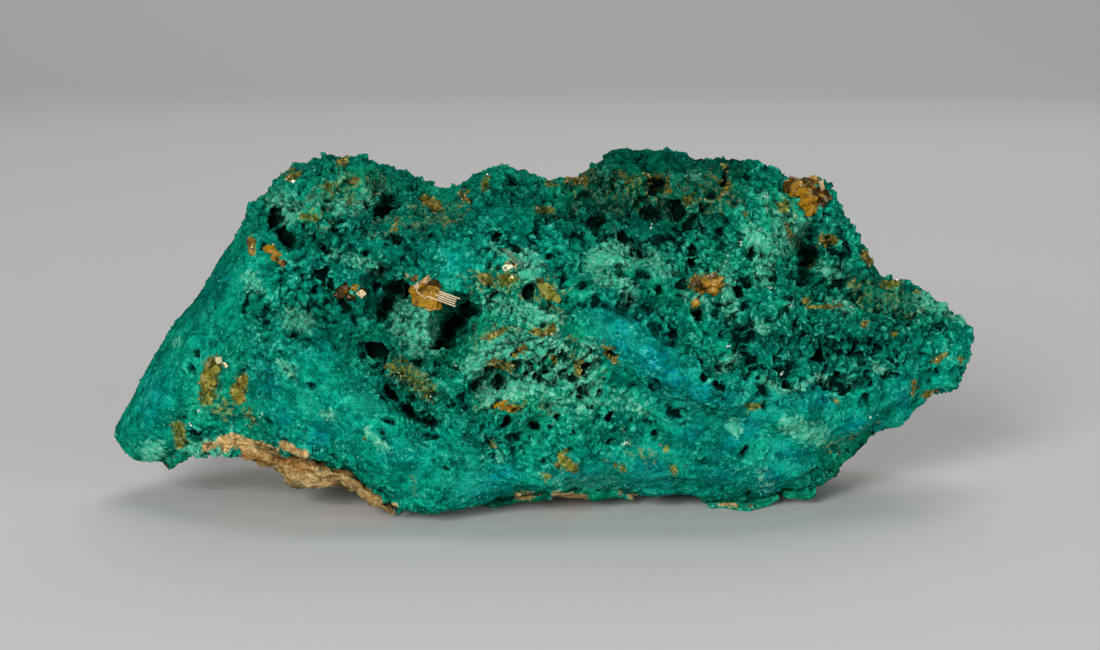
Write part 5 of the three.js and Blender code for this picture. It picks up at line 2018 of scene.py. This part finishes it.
CLUSTERS = (
    Cluster("shoulder_amber_crystals", Gem.AMBER, "amber_crystal", (
        Block((17.9, 23), (1.35, 0.8), -14, 0.4, lift=0.1),
        Block((19, 22.7), (0.8, 0.7), -40, 0.3, lift=0.1),
        Block((18.3, 22.1), (0.7, 0.8), 8, 0.6, lift=0.1),
        Block((17.5, 23.3), (0.7, 0.45), -24, 0.5, lift=0.3),
        Block((18.2, 23.3), (0.6, 0.3), -4, 0.35, lift=0.3),
        # pale blocks of tone 0.9 and above, here and below, are painted highlights
        Block((19.2, 23), (0.16, 0.42), -12, 0.94, lift=0.3),
        Block((19.5, 22.5), (0.35, 0.5), 20, 0.2, lift=0.2),
        Block((18, 22.7), (0.6, 0.35), -20, 0.75, lift=0.2),
        Block((17.4, 22.7), (0.4, 0.35), 15, 0.5), Block((18.4, 21.6), (0.35, 0.4), -10, 0.7),
        Block((19.1, 22.1), (0.45, 0.3), 40, 0.3), Block((16.9, 23.45), (0.4, 0.12), -50, 0.94, lift=0.15),
        Block((18.75, 22.65), (0.22, 0.2), 0, 0.0, lift=0.3),
        Block((18.6, 23.5), (0.3, 0.14), -30, 0.92, lift=0.5),
    )),
    Cluster("striated_amber_crystal", Gem.AMBER, "amber_crystal", (
        Block((-8.2, 15.8), (0.95, 0.8), -20, 0.5, lift=0.05), Block((-8.3, 16.5), (0.7, 0.45), 15, 0.3),
        Block((-7.75, 15.2), (0.6, 0.45), -15, 0.5), Block((-8.8, 15.9), (0.4, 0.6), 15, 0.6),
        Block((-7.65, 16.4), (0.4, 0.35), 20, 0.05, lift=0.15), Block((-8.9, 17), (0.3, 0.3), 40, 0.2),
        Block((-7.5, 15.75), (0.6, 0.36), -24, 0.75, lift=0.1),
        Block((-7.05, 15.75), (1.0, 0.36), -20, 0.97, 5, 0.48, (-7.9, 15.7)),
        Block((-7.15, 15.75), (0.9, 0.3), -20, 0.6, 7, 0.38, (-7.9, 15.7)),
        # a pale sliver as a painted glint
        Block((-8.45, 15.9), (0.42, 0.1), -38, 0.94, 1, 0.46, (-8.3, 15.8)),
    )),
    Cluster("hollow_amber_crystals", Gem.AMBER, "amber_crystal", (
        Block((-13.9, 16.2), (0.5, 0.4), 20, 0.2), Block((-13.2, 16.3), (0.5, 0.4), -25, 0.45),
        Block((-12.6, 16), (0.35, 0.4), 30, 0.15), Block((-13.4, 15.7), (0.45, 0.3), -5, 0.3),
        Block((-14.3, 15.9), (0.3, 0.25), 50, 0.1),
    )),
    Cluster("right_amber_crystal", Gem.AMBER, "amber_crystal", (
        Block((10.7, 16.8), (0.45, 0.4), -20, 0.2), Block((11.4, 16.8), (0.5, 0.45), 15, 0.5),
        Block((12, 16.8), (0.4, 0.4), 40, 0.7), Block((11.6, 16.2), (0.5, 0.32), -10, 0.6),
        Block((10.9, 16.2), (0.4, 0.3), 25, 0.4), Block((10.5, 15.3), (0.28, 0.24), 0, 0.7),
        Block((11.8, 17.2), (0.3, 0.2), -15, 0.4),
    )),
    Cluster("upper_left_amber_crystal", Gem.AMBER, "amber_crystal", (
        Block((-18.95, 18.95), (0.5, 0.35), -42, 0.9), Block((-18.45, 18.45), (0.5, 0.38), -38, 0.5),
        Block((-18.1, 18.05), (0.28, 0.28), 20, 0.3), Block((-20.35, 19.25), (0.18, 0.65), -4, 0.4),
    )),
    Cluster("lower_left_amber_crystals", Gem.STRAW, "amber_crystal", (
        # the small blocks of tone 0.95 are painted glints
        Block((-23.05, 11.15), (0.4, 0.3), 20, 0.1), Block((-22.5, 11.3), (0.3, 0.24), -15, 0.95),
        Block((-22.75, 10.7), (0.36, 0.3), 40, 0.6, lift=-0.1),
        Block((-23.2, 10.2), (0.3, 0.4), 10, 0.8, lift=-0.1),
        Block((-23.3, 9.6), (0.32, 0.34), -20, 0.7, lift=-0.1),
        Block((-22.9, 9.9), (0.26, 0.24), 30, 0.8, lift=-0.1),
        Block((-23.5, 9), (0.4, 0.26), 0, 0.1, lift=-0.1),
        Block((-20.95, 10.05), (0.25, 0.3), 15, 0.6, lift=-0.1),
        Block((-21.4, 9.2), (0.26, 0.36), -30, 0.6, lift=-0.1),
        Block((-21.1, 8.6), (0.2, 0.22), 20, 0.5, lift=-0.1),
        Block((-22.1, 11), (0.16, 0.2), 10, 0.95),
    )),
    Cluster("lower_middle_amber_crystal", Gem.AMBER, "amber_crystal", (
        Block((-3, 8.25), (0.6, 0.13), 4, 0.85), Block((-2.7, 8.05), (0.6, 0.22), -10, 0.6),
        Block((-2.1, 7.95), (0.25, 0.22), 20, 0.3),
    )),
    Cluster("middle_olive_crystal", Gem.OLIVE, "olive_crystal", (
        Block((0.05, 16.35), (0.42, 0.5), 10, 0.5), Block((0.45, 15.85), (0.4, 0.42), -25, 0.7),
        Block((0.95, 15.6), (0.28, 0.24), 30, 0.9), Block((-0.2, 16.8), (0.3, 0.3), 0, 0.3),
    )),
    Cluster("upper_olive_crystals", Gem.OLIVE, "olive_crystal", (
        Block((-4.15, 17), (0.4, 0.45), 15, 0.4), Block((-3.6, 16.8), (0.25, 0.28), -20, 0.6),
        Block((-2.7, 16.95), (0.4, 0.3), -10, 0.3), Block((-2.2, 16.9), (0.3, 0.26), 25, 0.5),
    )),
    Cluster("bottom_olive_crystals", Gem.OLIVE, "olive_crystal", (
        Block((1.2, 4.6), (0.32, 0.36), 15, 0.8), Block((1.85, 4), (0.3, 0.26), -20, 0.6),
        Block((1.5, 5.1), (0.2, 0.22), 0, 0.5), Block((0.9, 4), (0.22, 0.26), 40, 0.4),
    )),
    Cluster("pale_blade", Gem.PALE, "pale_crystal", (
        Block((-2.5, 18.75), (1.5, 0.24), -31, 0.6, 4), Block((-1.9, 18.2), (0.8, 0.2), -34, 0.4, 3),
        Block((-2.5, 17.8), (0.35, 0.25), 15, 0.3),
    )),
)


@dataclass(frozen=True)
class Glints:
    """Bright little crystals at single places of the face: pale chips that paint glints."""

    spots: tuple[Spot, ...] = (
        (-24, 7.9), (-19.5, 7.5), (-24.6, 6.9), (15.5, 22.8), (17.2, 15.1), (21.3, 14.95), (13.6, 19.5),
        (12.8, 18.7), (15.7, 16.3), (12.7, 12.3), (7.5, 20.4), (22.6, 7.4), (16.5, 10.4), (5.6, 5.6),
        (-6.2, 11.1), (-8.4, 15.8), (-18.9, 19.1), (19.3, 23.3), (16.9, 23.4), (-22.6, 11.2), (-3, 8.4),
    )
    each: int = 3
    seed: int = 77

    def build(self, surface: Surface, finish: Material) -> None:
        """Sets a few crystals at each place.

        Args:
            surface: the crust.
            finish: the finish of the glints.
        """
        chance = np.random.default_rng(self.seed)
        places = []
        for across, up in self.spots:
            for _ in range(self.each):
                off = chance.normal(0, 0.1, 2)
                place, normal = surface.behind((across + off[0], up + off[1]))
                places.append(place + 0.04 * normal)
        sizes = chance.uniform(0.03, 0.075, (len(places), 1)) * chance.uniform(0.7, 1.3, (len(places), 3))
        mesh = copies(Form.CHIP, np.array(places), sizes, turned(len(places), chance))
        tone = 0.9 * chance.random(len(places))
        set_attribute(mesh, "tone", np.repeat(tone, len(mesh.vertices) // len(places)))
        settle("glints", mesh, finish, "pale_crystal", False)


# ---------------- floor, light and camera


@dataclass(frozen=True)
class Lamp:
    """A square area light: its place, size and aim in metres, and its power in watts."""

    name: str
    place: Triple
    size: float
    power: float
    aim: Triple = (0.0, 0.0, 0.012)

    def build(self) -> None:
        """Sets up the light."""
        data = bpy.data.lights.new(self.name, "AREA")
        data.size = self.size
        data.energy = self.power
        lamp = bpy.data.objects.new(self.name, data)
        lamp.location = self.place
        way = Vector(self.aim) - Vector(self.place)
        lamp.rotation_euler = way.to_track_quat("-Z", "Y").to_euler()
        bpy.context.scene.collection.objects.link(lamp)


@dataclass(frozen=True)
class Studio:
    """Pale floor that curves up into a wall, soft lights and the camera, in metres."""

    lamps: tuple[Lamp, ...] = (
        Lamp("key", (-0.20, -0.57, 0.22), 0.20, 4.05),
        Lamp("fill", (0.42, -0.46, 0.10), 0.34, 1.7),
        Lamp("low", (0.08, -0.55, 0.02), 0.24, 0.8),
        Lamp("back", (0.10, 0.42, 0.42), 0.30, 0.6),
        Lamp("wash", (0.0, 0.30, 1.15), 0.70, 3.6, (0.0, 0.80, 0.25)),
    )
    floor_colour: Colour = (0.58, 0.575, 0.565)
    floor_half: float = 0.9
    curve_start: float = 0.55
    curve_radius: float = 0.35
    curve_steps: int = 12
    wall_height: float = 1.2
    room_colour: Colour = (0.92, 0.95, 1.0)
    room_strength: float = 0.11
    near_clip: float = 0.01

    def build(self) -> None:
        """Sets the stage."""
        self.floor()
        for lamp in self.lamps:
            lamp.build()
        self.camera()
        world = bpy.data.worlds.new("room")
        world.use_nodes = True
        background = world.node_tree.nodes["Background"]
        background.inputs[0].default_value = (*self.room_colour, 1.0)
        background.inputs[1].default_value = self.room_strength
        scene = bpy.context.scene
        scene.world = world
        scene.view_settings.view_transform = "Standard"
        scene.view_settings.look = "None"

    def floor(self) -> None:
        """A pale floor that curves up into a wall behind."""
        bm = bmesh.new()
        half, start, radius = self.floor_half, self.curve_start, self.curve_radius
        rim = [bm.verts.new((-half, -half, 0)), bm.verts.new((-half, start, 0))]
        for step in range(1, self.curve_steps + 1):
            turn = math.radians(90 * step / self.curve_steps)
            back, up = start + radius * math.sin(turn), radius * (1 - math.cos(turn))
            rim.append(bm.verts.new((-half, back, up)))
        rim.append(bm.verts.new((-half, start + radius, self.wall_height)))
        edges = [bm.edges.new(pair) for pair in zip(rim, rim[1:])]
        swept = bmesh.ops.extrude_edge_only(bm, edges=edges)["geom"]
        moved = [part for part in swept if isinstance(part, bmesh.types.BMVert)]
        bmesh.ops.translate(bm, vec=(2 * half, 0, 0), verts=moved)
        bmesh.ops.recalc_face_normals(bm, faces=bm.faces)
        mesh = to_mesh(bm, "floor")
        mesh.polygons.foreach_set("use_smooth", [True] * len(mesh.polygons))
        s = Shader("floor_paper")
        s.set(Base_Color=self.floor_colour, Roughness=0.8)
        mesh.materials.append(s.material)
        floor = bpy.data.objects.new("floor", mesh)
        bpy.context.scene.collection.objects.link(floor)

    def camera(self) -> None:
        """The camera on the line of sight."""
        data = bpy.data.cameras.new("camera")
        data.lens = SIGHT.lens
        data.sensor_width = SIGHT.sensor
        data.clip_start = self.near_clip
        camera = bpy.data.objects.new("camera", data)
        camera.location = Vector(SIGHT.eye) * MM
        camera.rotation_euler = (math.pi / 2 - SIGHT.rise, 0, 0)
        bpy.context.scene.collection.objects.link(camera)
        bpy.context.scene.camera = camera


def main() -> None:
    """Builds the specimen's pieces in order and reports each."""
    logging.basicConfig(level=logging.INFO, format="%(message)s")
    Studio().build()
    crust = StoneFinish("green_crust").make()
    mass = GreenMass()
    mass.build(crust)
    TanRock().build(StoneFinish("tan_rock", depth=0.18).make())
    finishes = {gem: GemFinish(gem).make() for gem in Gem}
    for cluster in CLUSTERS:
        cluster.build(mass.surface, finishes[cluster.gem])
    Glints().build(mass.surface, finishes[Gem.CLEAR])
    grain = GrainFinish().make()
    grit = GritFinish().make()
    SUGAR.build(mass.surface, grain)
    SPARKLE.build(mass.surface, grain)
    GRIT.build(mass.surface, grit)
    meshes = [one.data for one in bpy.context.scene.objects if one.type == "MESH"]
    LOG.info("in all: %d triangles", sum(len(mesh.loop_triangles) for mesh in meshes))


if __name__ == "__main__":
    main()
